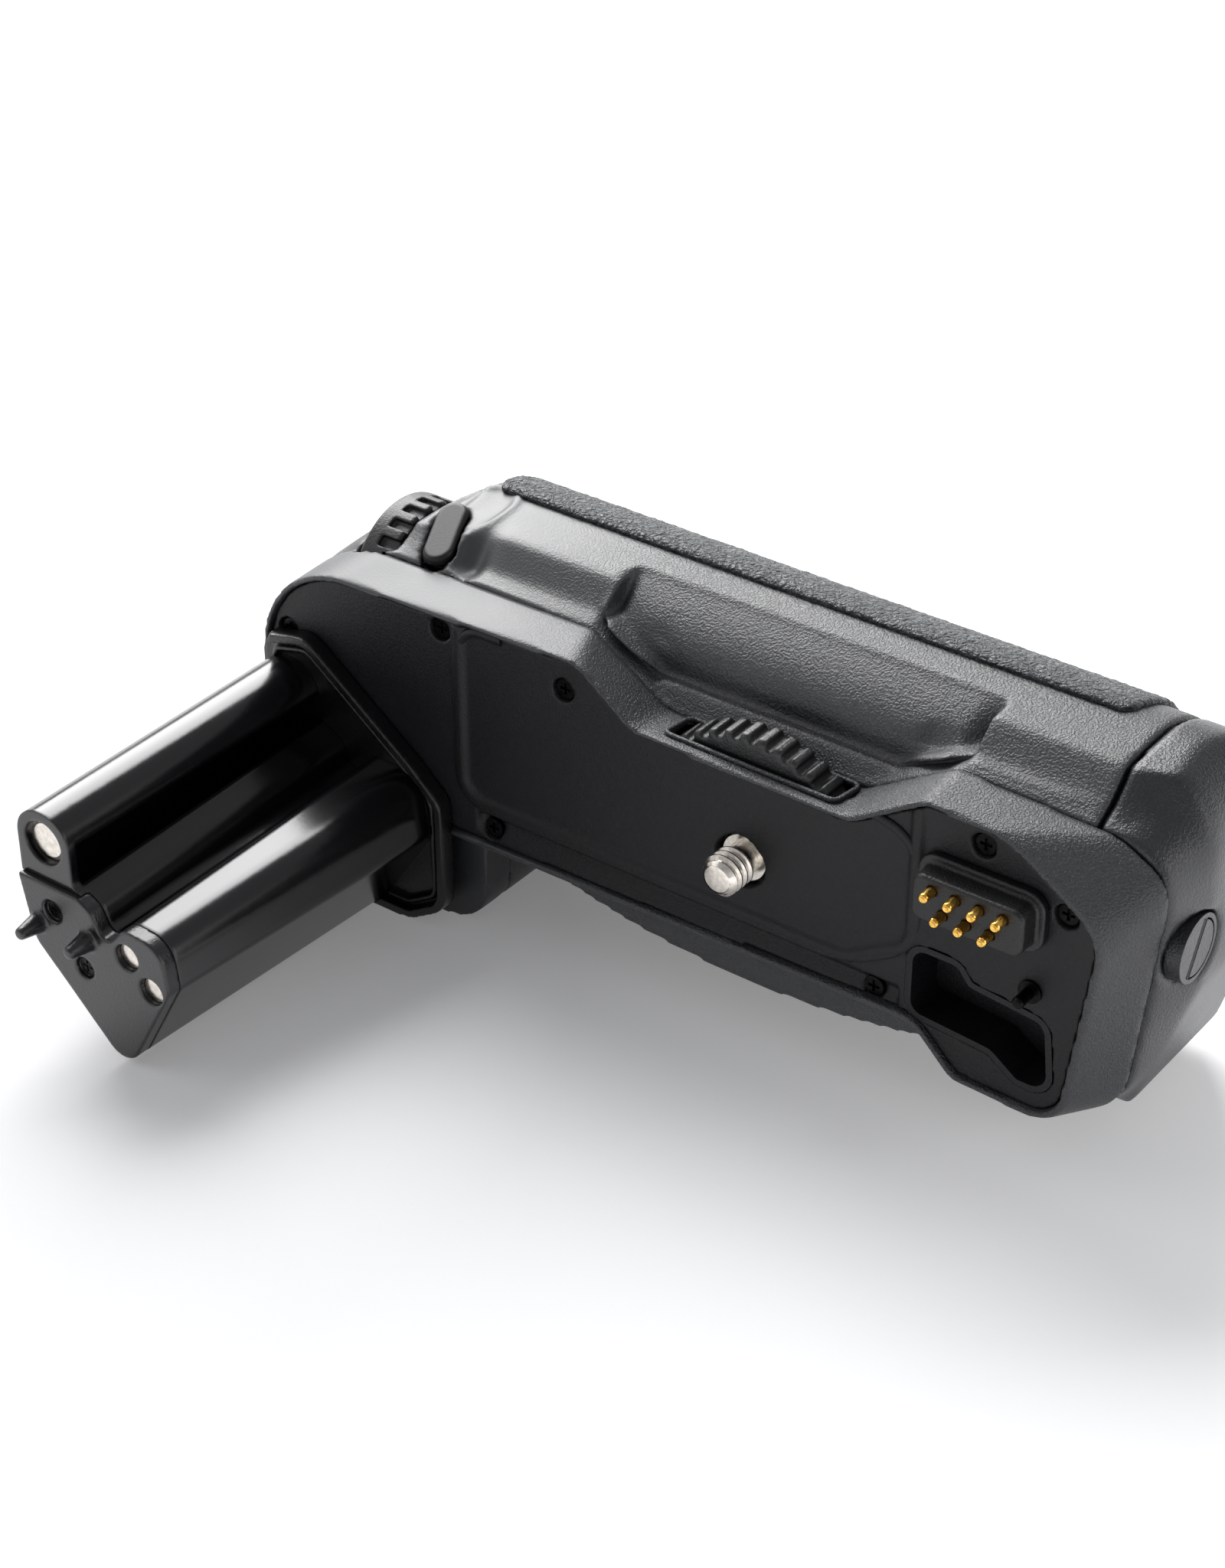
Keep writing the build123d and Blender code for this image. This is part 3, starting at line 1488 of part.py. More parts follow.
with BuildPart() as lock_knob:
    with BuildSketch(side(right_end - knob_recess + seat_gap)):
        with Locations((knob_y, knob_z)):
            Circle(knob_radius)
    extrude(amount=knob_face_x - right_end + knob_recess - seat_gap)
    with BuildSketch(side(cam_left + cam_thickness)):
        with Locations((knob_y, knob_z)):
            Circle(knob_shaft)
    extrude(amount=right_end - knob_recess + seat_gap - cam_left - cam_thickness)
    with BuildSketch(side(knob_face_x)):
        with Locations((knob_y, knob_z)):
            add(half_disc(handle_radius + handle_gap, handle_thickness))
    extrude(amount=-handle_thickness - seat_gap / 3, mode=Mode.SUBTRACT)
    add(rod(hinge_plane, (0, 0), hinge_radius + hinge_gap, 2 * (handle_radius + hinge_overhang)),
        mode=Mode.SUBTRACT)
with BuildPart() as lock_handle:
    with BuildSketch(side(knob_face_x)):
        with Locations((knob_y, knob_z)):
            add(half_disc(handle_radius, 0))
    extrude(amount=-handle_thickness)
    add(rod(hinge_plane, (0, 0), hinge_radius, 2 * (handle_radius + hinge_overhang)))
with BuildPart() as lock_cam:
    with BuildSketch(side(cam_left)):
        with Locations((knob_y, knob_z)):
            Circle(cam_hub)
        with Locations((knob_y - cam_length / 2, knob_z)):
            Rectangle(cam_length, cam_width)
    extrude(amount=cam_thickness)

# Tripod bush in the base, and the rubber strip along the back edge.
bush_bore_depth = 4.8
with BuildPart() as tripod_bush:
    with BuildSketch(front(body_height)):
        with Locations((bush_x, bush_z)):
            Circle(bush_radius)
    extrude(amount=bush_depth)
    with BuildSketch(front(body_height)):
        with Locations((bush_x, bush_z)):
            Circle(thread_radius)
    extrude(amount=bush_bore_depth, mode=Mode.SUBTRACT)

# Rubber strip along the rounded back edge.
strip_left = -65.0
strip_end_gap = 5.5
strip_right = door_seam - strip_end_gap
strip_front_y = 27.0
strip_low_z = 10.0
strip_thickness = 0.6
strip_corner = 4.0
strip_middle_y = (strip_front_y + body_height) / 2
strip_middle_z = (strip_low_z + body_back) / 2
strip_span = math.hypot(body_height - strip_front_y, body_back - strip_low_z)
strip_view = Plane(
    origin=(0, strip_middle_y, strip_middle_z), x_dir=(1, 0, 0),
    z_dir=(0, body_back - strip_low_z, body_height - strip_front_y),
)
with BuildPart() as rubber_strip:
    with BuildSketch(side(strip_left)):
        add(inset(section_face, -strip_thickness))
        add(section_face, mode=Mode.SUBTRACT)
        with Locations((strip_front_y + body_height / 2, strip_low_z + body_back)):
            Rectangle(body_height, 2 * body_back, mode=Mode.INTERSECT)
    extrude(amount=strip_right - strip_left)
    with BuildSketch(strip_view):
        with Locations(((strip_left + strip_right) / 2, 0)):
            RectangleRounded(strip_right - strip_left, strip_span, strip_corner)
    extrude(amount=2 * body_height, both=True, mode=Mode.INTERSECT)

finish(top_case_drilled, "top_case")
finish(main_shell, "main_shell")
finish(battery_door, "battery_door")
finish(base_plate, "base_plate")
finish(plate_screws, "plate_screws")
finish(pocket_tub, "pocket_tub")
finish(pocket_screw, "pocket_screw")
finish(locating_pin, "locating_pin")
finish(connector_block, "connector_block")
for number, place in enumerate(pin_places, start=1):
    finish(contact_pin(place), "contact_pin_" + str(number))
finish(circuit_board, "circuit_board")
finish(camera_screw, "camera_screw")
finish(thumbwheel, "thumbwheel")
finish(wheel_bracket, "wheel_bracket")
finish(screw_clip, "screw_clip")
finish(wheel_washer, "wheel_washer")
finish(tower_shell, "tower_shell")
finish(tower_cover, "tower_cover")
finish(tower_contacts, "tower_contacts")
finish(tower_screws, "tower_screws")
finish(tower_collar, "tower_collar")
finish(main_dial, "main_dial")
finish(main_dial_axle, "main_dial_axle")
finish(main_dial_bracket, "main_dial_bracket")
finish(front_dial, "front_dial")
finish(front_dial_axle, "front_dial_axle")
finish(front_dial_bracket, "front_dial_bracket")
finish(rear_button, "rear_button")
finish(button_dome, "button_dome")
finish(button_board, "button_board")
finish(lock_collar, "lock_collar")
finish(shutter_button, "shutter_button")
finish(release_switch, "release_switch")
finish(battery_chamber, "battery_chamber")
finish(chamber_contacts, "chamber_contacts")
finish(battery_tray, "battery_tray")
finish(tray_contacts, "tray_contacts")
for number, place in enumerate(cell_places, start=1):
    finish(cell(place, cell_left), "cell_" + str(number))
    finish(cell(place, cell_middle), "cell_" + str(number + len(cell_places)))
finish(lock_knob, "lock_knob")
finish(lock_handle, "lock_handle")
finish(lock_cam, "lock_cam")
finish(tripod_bush, "tripod_bush")
finish(rubber_strip, "rubber_strip")
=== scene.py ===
import bpy
import math
import numpy as np
from mathutils import Matrix, Vector


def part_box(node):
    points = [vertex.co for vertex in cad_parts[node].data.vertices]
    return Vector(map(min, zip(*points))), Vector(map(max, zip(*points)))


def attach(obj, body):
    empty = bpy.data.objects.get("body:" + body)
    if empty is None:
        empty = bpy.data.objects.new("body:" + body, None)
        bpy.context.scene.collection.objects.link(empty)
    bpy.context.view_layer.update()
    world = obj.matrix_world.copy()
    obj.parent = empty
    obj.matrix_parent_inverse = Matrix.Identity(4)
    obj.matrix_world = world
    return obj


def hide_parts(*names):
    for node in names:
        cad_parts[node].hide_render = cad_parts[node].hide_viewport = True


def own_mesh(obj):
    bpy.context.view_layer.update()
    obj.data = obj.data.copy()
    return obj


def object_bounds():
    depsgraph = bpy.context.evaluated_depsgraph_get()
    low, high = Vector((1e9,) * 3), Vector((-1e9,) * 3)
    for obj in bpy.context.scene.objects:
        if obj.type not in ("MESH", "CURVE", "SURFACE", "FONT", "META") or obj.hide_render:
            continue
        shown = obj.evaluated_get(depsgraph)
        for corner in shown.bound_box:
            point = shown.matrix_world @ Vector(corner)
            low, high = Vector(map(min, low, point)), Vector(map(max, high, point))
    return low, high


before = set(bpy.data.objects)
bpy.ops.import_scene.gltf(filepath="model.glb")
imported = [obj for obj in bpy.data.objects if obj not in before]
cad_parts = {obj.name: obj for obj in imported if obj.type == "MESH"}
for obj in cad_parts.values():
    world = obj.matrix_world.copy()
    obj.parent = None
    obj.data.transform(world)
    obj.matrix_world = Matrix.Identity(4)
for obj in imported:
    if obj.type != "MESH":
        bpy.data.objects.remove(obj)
cad_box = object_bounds()


# The studio: a white table, a large soft light above and behind the grip, and a small one at each
# side. The camera looks down on the mating face from the front left, as in the photograph.
def linear(code):
    """An sRGB hex colour as linear red, green, blue and alpha."""
    parts = [int(code[i:i + 2], 16) / 255 for i in (1, 3, 5)]
    return [p / 12.92 if p <= 0.04045 else ((p + 0.055) / 1.055) ** 2.4 for p in parts] + [1.0]


def add(material, kind, values, links):
    """Adds a shader node, sets its values and joins its inputs to other nodes' outputs."""
    made = material.node_tree.nodes.new(kind)
    for name, value in values.items():
        if name == "stops":
            ramp = made.color_ramp
            while len(ramp.elements) < len(value):
                ramp.elements.new(0.5)
            for element, (place, shade) in zip(ramp.elements, value):
                element.position = place
                element.color = shade
        elif isinstance(name, int) or name in made.inputs:
            made.inputs[name].default_value = value
        else:
            setattr(made, name, value)
    for name, output in links.items():
        material.node_tree.links.new(output, made.inputs[name])
    return made


def new_material(name):
    """An empty node material."""
    material = bpy.data.materials.new(name)
    material.use_nodes = True
    material.node_tree.nodes.clear()
    return material


def close(material, surface):
    """Joins a shader to the material's output."""
    add(material, "ShaderNodeOutputMaterial", {}, {"Surface": surface.outputs[0]})
    return material


camera_data = bpy.data.cameras.new("camera")
camera_data.sensor_fit = "VERTICAL"
camera_data.sensor_height = 36.0
camera_data.lens = 71.9
camera_data.clip_start = 0.01
camera = bpy.data.objects.new("camera", camera_data)
bpy.context.scene.collection.objects.link(camera)
camera.matrix_world = Matrix((
    (0.79953, -0.32591, 0.50473, 0.20778),
    (0.60083, 0.43782, -0.66891, -0.30471),
    (-0.00296, 0.83806, 0.54588, 0.25359),
    (0.0, 0.0, 0.0, 1.0),
))
bpy.context.scene.camera = camera
bpy.context.scene.view_settings.view_transform = "Standard"

bpy.ops.object.select_all(action="DESELECT")
bpy.ops.mesh.primitive_plane_add(size=8.0, location=(0.0, 0.0, cad_box[0][2]))
table = bpy.context.object
table.name = "table"
paper = new_material("matt_white_paper")
rays = add(paper, "ShaderNodeLightPath", {}, {})
shown = add(
    paper, "ShaderNodeMath", {"operation": "MAXIMUM"},
    {0: rays.outputs["Is Camera Ray"], 1: rays.outputs["Is Glossy Ray"]},
)
shown = add(
    paper, "ShaderNodeMath", {"operation": "MAXIMUM"},
    {0: shown.outputs[0], 1: rays.outputs["Is Transmission Ray"]},
)
flat = add(paper, "ShaderNodeBsdfDiffuse", {"Color": linear("#eeeeef"), "Roughness": 0.5}, {})
# Painted light: for the camera and in reflections the paper also glows. The glow is 0.16 within a
# tenth of a metre of a point near the tower and rises to full white half a metre away, so the floor
# is painted paler away from the grip and keeps painted shade near it.
spot = add(paper, "ShaderNodeTexCoord", {}, {})
away = add(
    paper, "ShaderNodeVectorMath", {"operation": "DISTANCE", 1: (-0.11, -0.06, 0.0)},
    {0: spot.outputs["Object"]},
)
share = add(
    paper, "ShaderNodeMapRange",
    {"From Min": 0.1, "From Max": 0.5, "To Min": 0.16, "To Max": 1.0},
    {"Value": away.outputs["Value"]},
)
painted_floor_glow = add(
    paper, "ShaderNodeEmission", {"Color": linear("#ffffff")},
    {"Strength": share.outputs["Result"]},
)
paper_with_painted_glow = add(paper, "ShaderNodeAddShader", {}, {0: flat.outputs[0], 1: painted_floor_glow.outputs[0]})
close(paper, add(
    paper, "ShaderNodeMixShader", {},
    {0: shown.outputs[0], 1: flat.outputs[0], 2: paper_with_painted_glow.outputs[0]},
))
table.data.materials.append(paper)


def soft_light(name, place, aim, size, power):
    """A rectangular soft light that faces a point."""
    data = bpy.data.lights.new(name, "AREA")
    data.shape = "RECTANGLE"
    data.size, data.size_y = size
    data.energy = power
    lamp = bpy.data.objects.new(name, data)
    bpy.context.scene.collection.objects.link(lamp)
    lamp.location = place
    lamp.rotation_euler = (Vector(aim) - Vector(place)).to_track_quat("-Z", "Y").to_euler()


soft_light("window_light", (-0.8, 0.6, 0.82), (-0.03, 0.02, 0.0), (1.0, 1.05), 34.0)
soft_light("left_light", (-0.9, -0.6, 0.8), (0.0, 0.0, 0.0), (0.8, 0.8), 2.0)
soft_light("right_light", (0.9, 0.2, 0.3), (0.0, 0.0, 0.0), (0.3, 0.5), 1.4)

sky = bpy.data.worlds.new("studio")
bpy.context.scene.world = sky
sky.use_nodes = True
sky.node_tree.nodes.clear()
seen = add(sky, "ShaderNodeLightPath", {}, {})
reach = add(sky, "ShaderNodeTexCoord", {}, {})
height = add(sky, "ShaderNodeSeparateXYZ", {}, {0: reach.outputs["Generated"]})
wall = add(
    sky, "ShaderNodeValToRGB",
    {"stops": [(0.1, linear("#ffffff")), (0.5, linear("#b4b5b6"))]}, {0: height.outputs["Z"]},
)
mirrored = add(
    sky, "ShaderNodeMath", {"operation": "MAXIMUM"},
    {0: seen.outputs["Is Glossy Ray"], 1: seen.outputs["Is Transmission Ray"]},
)
white = add(sky, "ShaderNodeBackground", {"Color": linear("#ffffff"), "Strength": 1.0}, {})
room = add(sky, "ShaderNodeBackground", {"Strength": 0.85}, {"Color": wall.outputs["Color"]})
dim = add(sky, "ShaderNodeBackground", {"Color": linear("#f2f5f8"), "Strength": 0.24}, {})
inside = add(
    sky, "ShaderNodeMixShader", {}, {0: mirrored.outputs[0], 1: dim.outputs[0], 2: room.outputs[0]},
)
both = add(
    sky, "ShaderNodeMixShader", {},
    {0: seen.outputs["Is Camera Ray"], 1: inside.outputs[0], 2: white.outputs[0]},
)
add(sky, "ShaderNodeOutputWorld", {}, {"Surface": both.outputs[0]})


# The main shell is the long hand grip with the finger recess in its back. It is moulded in black
# glass-filled polycarbonate, and its mould was spark-eroded, which leaves an even pebbled grain.
def moulded(name, dark, light, grain_mm, depth_mm, roughness, gloss, edge_mm=0.25, fade=None):
    """Moulded black plastic: eroded grain, faint patches of tone, a little dust and eased edges."""
    material = new_material(name)
    where = add(material, "ShaderNodeTexCoord", {}, {}).outputs["Object"]
    grain = add(
        material, "ShaderNodeTexNoise",
        {"Scale": 1000.0 / grain_mm, "Detail": 1.5, "Roughness": 0.55, "Distortion": 0.3},
        {"Vector": where},
    )
    pebbles = add(
        material, "ShaderNodeValToRGB",
        {"stops": [(0.4, (0.0, 0.0, 0.0, 1.0)), (0.62, (1.0, 1.0, 1.0, 1.0))]},
        {0: grain.outputs["Fac"]},
    )
    patches = add(material, "ShaderNodeTexNoise", {"Scale": 70.0, "Detail": 3.0}, {"Vector": where})
    tone = add(
        material, "ShaderNodeValToRGB",
        {"stops": [(0.35, linear(dark)), (0.65, linear(light))]}, {0: patches.outputs["Fac"]},
    )
    dust = add(material, "ShaderNodeTexVoronoi", {"Scale": 340.0}, {"Vector": where})
    specks = add(
        material, "ShaderNodeValToRGB",
        {"stops": [(0.0, (0.5, 0.5, 0.5, 1.0)), (0.045, (0.0, 0.0, 0.0, 1.0))]},
        {0: dust.outputs["Distance"]},
    )
    colour = add(
        material, "ShaderNodeMix",
        {"data_type": "RGBA", "blend_type": "ADD", "Factor": 0.06},
        {6: tone.outputs["Color"], 7: specks.outputs["Color"]},
    )
    wear = add(
        material, "ShaderNodeMapRange",
        {"To Min": roughness - 0.04, "To Max": roughness + 0.05}, {"Value": patches.outputs["Fac"]},
    )
    eased = add(material, "ShaderNodeBevel", {"samples": 4, "Radius": edge_mm / 1000.0}, {})
    height = pebbles.outputs["Color"]
    if fade:
        axis, start, end, least = fade
        along = add(material, "ShaderNodeSeparateXYZ", {}, {0: where})
        share = add(
            material, "ShaderNodeMapRange",
            {"From Min": start / 1000.0, "From Max": end / 1000.0, "To Min": least, "To Max": 1.0},
            {"Value": along.outputs[axis]},
        )
        height = add(
            material, "ShaderNodeMath", {"operation": "MULTIPLY"},
            {0: height, 1: share.outputs["Result"]},
        ).outputs[0]
    raised = add(
        material, "ShaderNodeBump", {"Strength": 1.0, "Distance": depth_mm / 1000.0},
        {"Height": height, "Normal": eased.outputs[0]},
    )
    return close(material, add(
        material, "ShaderNodeBsdfPrincipled",
        {"IOR": 1.5, "Specular IOR Level": gloss},
        {"Base Color": colour.outputs[2], "Roughness": wear.outputs["Result"],
         "Normal": raised.outputs["Normal"]},
    ))


def dress(node, material):
    """Gives a CAD node its material."""
    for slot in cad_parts[node].material_slots:
        slot.material = material


def points_of(piece):
    """The corner points of a piece in millimetres."""
    points = np.zeros(len(piece.data.vertices) * 3)
    piece.data.vertices.foreach_get("co", points)
    return points.reshape(-1, 3) * 1000


def move_points(piece, points):
    """Puts the corner points of a piece where they are given, in millimetres."""
    piece.data.vertices.foreach_set("co", (points / 1000).ravel())
    piece.data.update()


def ease(piece, passes, share=None):
    """Smooths a skin, all of it or by the share given for each of its points."""
    bpy.context.view_layer.objects.active = piece
    polish = piece.modifiers.new("polish", "SMOOTH")
    polish.iterations = passes
    polish.factor = 0.5
    if share is not None:
        group = piece.vertex_groups.new(name="eased")
        for level in range(1, 11):
            chosen = np.nonzero(np.round(share * 10) == level)[0]
            group.add(chosen.tolist(), level / 10, "REPLACE")
        polish.vertex_group = group.name
    bpy.ops.object.modifier_apply(modifier=polish.name)
    piece.vertex_groups.clear()


def skin_of(node, name, voxel_mm, passes):
    """A copy of a CAD node with an even skin and eased edges, as it comes from its mould."""
    bpy.ops.object.select_all(action="DESELECT")
    piece = bpy.data.objects.new(name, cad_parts[node].data.copy())
    bpy.context.scene.collection.objects.link(piece)
    piece.data.materials.clear()
    piece.select_set(True)
    bpy.context.view_layer.objects.active = piece
    bpy.ops.object.mode_set(mode="EDIT")
    bpy.ops.mesh.select_all(action="SELECT")
    bpy.ops.mesh.remove_doubles(threshold=0.000002)
    bpy.ops.object.mode_set(mode="OBJECT")
    skin = piece.modifiers.new("skin", "REMESH")
    skin.mode = "VOXEL"
    skin.voxel_size = voxel_mm / 1000
    bpy.ops.object.modifier_apply(modifier=skin.name)
    ease(piece, passes)
    bpy.ops.object.shade_smooth()
    return piece


def settle(piece, material, slot, body, *nodes):
    """Gives a finished piece its material and its body, in the place of CAD nodes. The slot is not
    used.
    """
    piece.data.materials.clear()
    piece.data.materials.append(material)
    if nodes:
        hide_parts(*nodes)
    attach(piece, body)


# Grained polycarbonate: an eroded pebble that breaks the highlights into small points. The real
# pebble is 0.15 mm wide and is drawn at 0.36 mm, so that it shows. It is worn smooth to the left.
shell_plastic = moulded(
    "grained_black_polycarbonate", "#2b2d2f", "#313335", 0.36, 0.07, 0.44, 0.75,
    fade=("X", -58.0, -24.0, 0.15),
)
shell = skin_of("main_shell", "hand_grip_shell", 0.6, 4)
seam_y, door_seam = 9.22, 51.2
slope_swell, lip_rise, trough_depth, trough_half = 3.7, 1.0, 1.5, 0.9
lip_y, lip_half, trough_y, lip_reach = 11.8, 2.1, 14.3, 3.2
dish_x, dish_y, dish_half_width, dish_half_length, dish_depth = -64.4, 19.5, 5.0, 8.5, 0.7
rim_rise, rim_at, rim_width = 0.35, 1.06, 0.1
scoop_x, scoop_y, scoop_depth, scoop_half_width, scoop_half_length = -57.6, 13.5, 1.5, 1.9, 4.0
shell_thinning = 0.82
lip_xs = [-40, -28, -22, -16, -8, 2, 9, 16, 22, 29, 40]
lip_zs = [25.5, 25.5, 19.6, 16.9, 17.0, 17.1, 16.6, 16.9, 20.9, 25.5, 25.5]
spots = points_of(shell)
across = np.clip((spots[:, 0] + 34) / 3, 0, 1) * np.clip((31 - spots[:, 0]) / 4, 0, 1)
down = np.clip((spots[:, 2] - 15.2) / 12.6, 0, 1) * (spots[:, 1] > 13.0) * (spots[:, 1] < 24.5)
swell = slope_swell * np.sin(math.pi * down ** 0.85) * across
spots[:, 1] -= 0.9 * swell
spots[:, 2] += 0.44 * swell
ridge = np.interp(spots[:, 0], lip_xs, lip_zs)
inner = np.clip((spots[:, 0] + 27) / 8, 0, 1) * np.clip((28 - spots[:, 0]) / 6, 0, 1)
close_by = np.clip(1 - np.abs(spots[:, 1] - lip_y) / lip_half, 0, 1) * inner
close_by *= np.abs(spots[:, 2] - ridge) < lip_reach
spots[:, 2] += lip_rise * close_by ** 0.8
trough = np.exp(-((spots[:, 1] - trough_y) / trough_half) ** 2) * inner
trough *= np.abs(spots[:, 2] - ridge) < 3.0
spots[:, 2] -= trough_depth * trough
move_points(shell, spots)
ease(shell, 6, across * np.clip((spots[:, 1] - 9.8) / 1.5, 0, 1) * (spots[:, 2] > 8))
spots = points_of(shell)
pad = np.clip((spots[:, 2] - 18) / 3, 0, 1) * (spots[:, 1] > 9.5)
turn = math.radians(-14)
aside, along = spots[:, 0] - dish_x, spots[:, 1] - dish_y
east = aside * math.cos(turn) + along * math.sin(turn)
north = -aside * math.sin(turn) + along * math.cos(turn)
far = np.sqrt((east / dish_half_width) ** 2 + (north / dish_half_length) ** 2)
dish = -dish_depth * np.clip(1 - far ** 2, 0, 1) ** 0.7
dish += rim_rise * np.exp(-((far - rim_at) / rim_width) ** 2) * np.clip((north + 2) / 4, 0, 1)
scoop = -scoop_depth * np.exp(
    -((spots[:, 0] - scoop_x) / scoop_half_width) ** 2
    - ((spots[:, 1] - scoop_y) / scoop_half_length) ** 2
)
spots[:, 2] += pad * (dish + scoop)
low = (spots[:, 1] < seam_y + 0.5) & (spots[:, 1] > seam_y - 0.4)
spots[low, 1] = seam_y
end = (spots[:, 0] > door_seam - 0.5) & (spots[:, 0] < door_seam + 0.4)
spots[end, 0] = door_seam
move_points(shell, spots)
thinned = shell.modifiers.new("thinned", "DECIMATE")
thinned.ratio = shell_thinning
bpy.ops.object.modifier_apply(modifier=thinned.name)
settle(shell, shell_plastic, "case_plastic", "housing", "main_shell")


# The tripod socket is a brass bush, nickel plated, pressed into the foot of the main shell from
# outside. The board behind the rear button and the dial brackets are screwed to its ribs.
def plated(name, dark, light, roughness):
    """Plated metal with faint turning marks and finger marks."""
    material = new_material(name)
    where = add(material, "ShaderNodeTexCoord", {}, {}).outputs["Object"]
    marks = add(
        material, "ShaderNodeTexNoise", {"Scale": 1400.0, "Detail": 3.0}, {"Vector": where},
    )
    tone = add(
        material, "ShaderNodeValToRGB",
        {"stops": [(0.3, linear(dark)), (0.7, linear(light))]}, {0: marks.outputs["Fac"]},
    )
    wear = add(
        material, "ShaderNodeMapRange",
        {"To Min": roughness - 0.05, "To Max": roughness + 0.08}, {"Value": marks.outputs["Fac"]},
    )
    eased = add(material, "ShaderNodeBevel", {"samples": 4, "Radius": 0.00012}, {})
    raised = add(
        material, "ShaderNodeBump", {"Strength": 0.4, "Distance": 0.00002},
        {"Height": marks.outputs["Fac"], "Normal": eased.outputs[0]},
    )
    return close(material, add(
        material, "ShaderNodeBsdfPrincipled", {"Metallic": 1.0},
        {"Base Color": tone.outputs["Color"], "Roughness": wear.outputs["Result"],
         "Normal": raised.outputs["Normal"]},
    ))


# Bright nickel plating gives a warm and sharp highlight, and rolled steel a duller, greyer one.
nickel = plated("bright_nickel_plating", "#c4bdb5", "#e2dcd4", 0.2)
steel = plated("rolled_stainless_steel", "#8b8c8d", "#a8a9aa", 0.35)
dress("tripod_bush", nickel)
for name in ("main_dial_axle", "main_dial_bracket", "front_dial_axle", "front_dial_bracket"):
    dress(name, steel)
# Solder mask is a smooth dark green with a soft gloss, and plain ABS an even black.
board_green = moulded("solder_masked_board", "#12341f", "#184228", 0.6, 0.02, 0.35, 0.5)
dress("button_board", board_green)
inner_plastic = moulded("plain_black_abs", "#141516", "#18191a", 0.3, 0.01, 0.45, 0.45)


# The rear button is a long pill of black polycarbonate on a silicone dome. Its top is polished
# and crowned, and it stands in the dished pad at the left of the back.
# Satin polycarbonate without grain gives one soft highlight along the pill.
button_plastic = moulded("satin_black_button", "#0c0d0e", "#101112", 0.4, 0.004, 0.42, 0.35)
button = skin_of("rear_button", "rear_button_cap", 0.17, 3)
settle(button, button_plastic, "button_plastic", "rear_button", "rear_button")
# Silicone is grey and dull.
silicone = moulded("moulded_grey_silicone", "#2a2c2e", "#313335", 0.4, 0.01, 0.55, 0.4)
dome = skin_of("button_dome", "soft_button_dome", 0.15, 2)
settle(dome, silicone, "silicone", "housing", "button_dome")
foot = points_of(dome).min(axis=0) / 1000
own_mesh(dome)


# The two control dials are moulded drums of black polycarbonate with deep grips cut in their rims.
# Each turns on a steel axle behind an opening in the shell.
# Matt polycarbonate: each grip catches a narrow soft light on one flank.
dial_plastic = moulded("matt_black_polycarbonate", "#141617", "#191b1c", 0.35, 0.02, 0.42, 0.5)
main_dial = skin_of("main_dial", "main_control_dial", 0.22, 3)
settle(main_dial, dial_plastic, "dial_plastic", "main_dial", "main_dial")
front_dial = skin_of("front_dial", "front_control_dial", 0.2, 3)
settle(front_dial, dial_plastic, "dial_plastic", "front_dial", "front_dial")


# The release at the left end: a polished button inside a lock collar with a thumb tab, over the
# switch that it presses. All three are moulded in black polycarbonate.
# Polished ABS mirrors the room in a nearly pure black.
gloss_button = moulded("polished_black_abs_button", "#08090a", "#0b0c0d", 0.4, 0.002, 0.12, 0.5)
collar = skin_of("lock_collar", "turning_lock_collar", 0.25, 4)
settle(collar, dial_plastic, "dial_plastic", "lock_collar", "lock_collar")
release = skin_of("shutter_button", "release_button_cap", 0.2, 5)
settle(release, gloss_button, "gloss_button", "shutter_button", "shutter_button")
dress("release_switch", inner_plastic)


# The rubber strip is a sheet of moulded thermoplastic rubber with a leather grain, bonded into a
# shallow bed along the back and bottom of the hand grip.
def leather_grained(name, dark, light, cell_mm, depth_mm):
    """Leather grain in rubber: soft plates parted by fine wrinkles, with painted shade in the
    wrinkles.
    """
    material = new_material(name)
    where = add(material, "ShaderNodeTexCoord", {}, {}).outputs["Object"]
    sway = add(
        material, "ShaderNodeTexNoise", {"Scale": 1000.0 / (2.2 * cell_mm), "Detail": 2.0},
        {"Vector": where},
    )
    shift = add(
        material, "ShaderNodeMix",
        {"data_type": "RGBA", "blend_type": "LINEAR_LIGHT", "Factor": 0.0011},
        {6: where, 7: sway.outputs["Color"]},
    )
    plates = add(
        material, "ShaderNodeTexVoronoi",
        {"feature": "DISTANCE_TO_EDGE", "Scale": 1000.0 / cell_mm}, {"Vector": shift.outputs[2]},
    )
    small = add(
        material, "ShaderNodeTexVoronoi",
        {"feature": "DISTANCE_TO_EDGE", "Scale": 1900.0 / cell_mm}, {"Vector": shift.outputs[2]},
    )
    domes = add(
        material, "ShaderNodeValToRGB",
        {"stops": [(0.0, (0.0, 0.0, 0.0, 1.0)), (0.3, (1.0, 1.0, 1.0, 1.0))]},
        {0: plates.outputs["Distance"]},
    )
    cracks = add(
        material, "ShaderNodeValToRGB",
        {"stops": [(0.0, (0.0, 0.0, 0.0, 1.0)), (0.16, (1.0, 1.0, 1.0, 1.0))]},
        {0: small.outputs["Distance"]},
    )
    height = add(
        material, "ShaderNodeMath", {"operation": "MULTIPLY_ADD", 1: 0.45},
        {0: cracks.outputs["Color"], 2: domes.outputs["Color"]},
    )
    # Painted shade: the colour follows the height, so the wrinkles are drawn darker than the
    # plates.
    tone = add(
        material, "ShaderNodeValToRGB",
        {"stops": [(0.0, linear(dark)), (0.7, linear(light))]}, {0: height.outputs[0]},
    )
    raised = add(
        material, "ShaderNodeBump", {"Strength": 1.0, "Distance": depth_mm / 1000.0},
        {"Height": height.outputs[0]},
    )
    wear = add(
        material, "ShaderNodeMapRange", {"To Min": 0.62, "To Max": 0.46},
        {"Value": height.outputs[0]},
    )
    return close(material, add(
        material, "ShaderNodeBsdfPrincipled", {"IOR": 1.5, "Specular IOR Level": 0.6},
        {"Base Color": tone.outputs["Color"], "Roughness": wear.outputs["Result"],
         "Normal": raised.outputs["Normal"]},
    ))
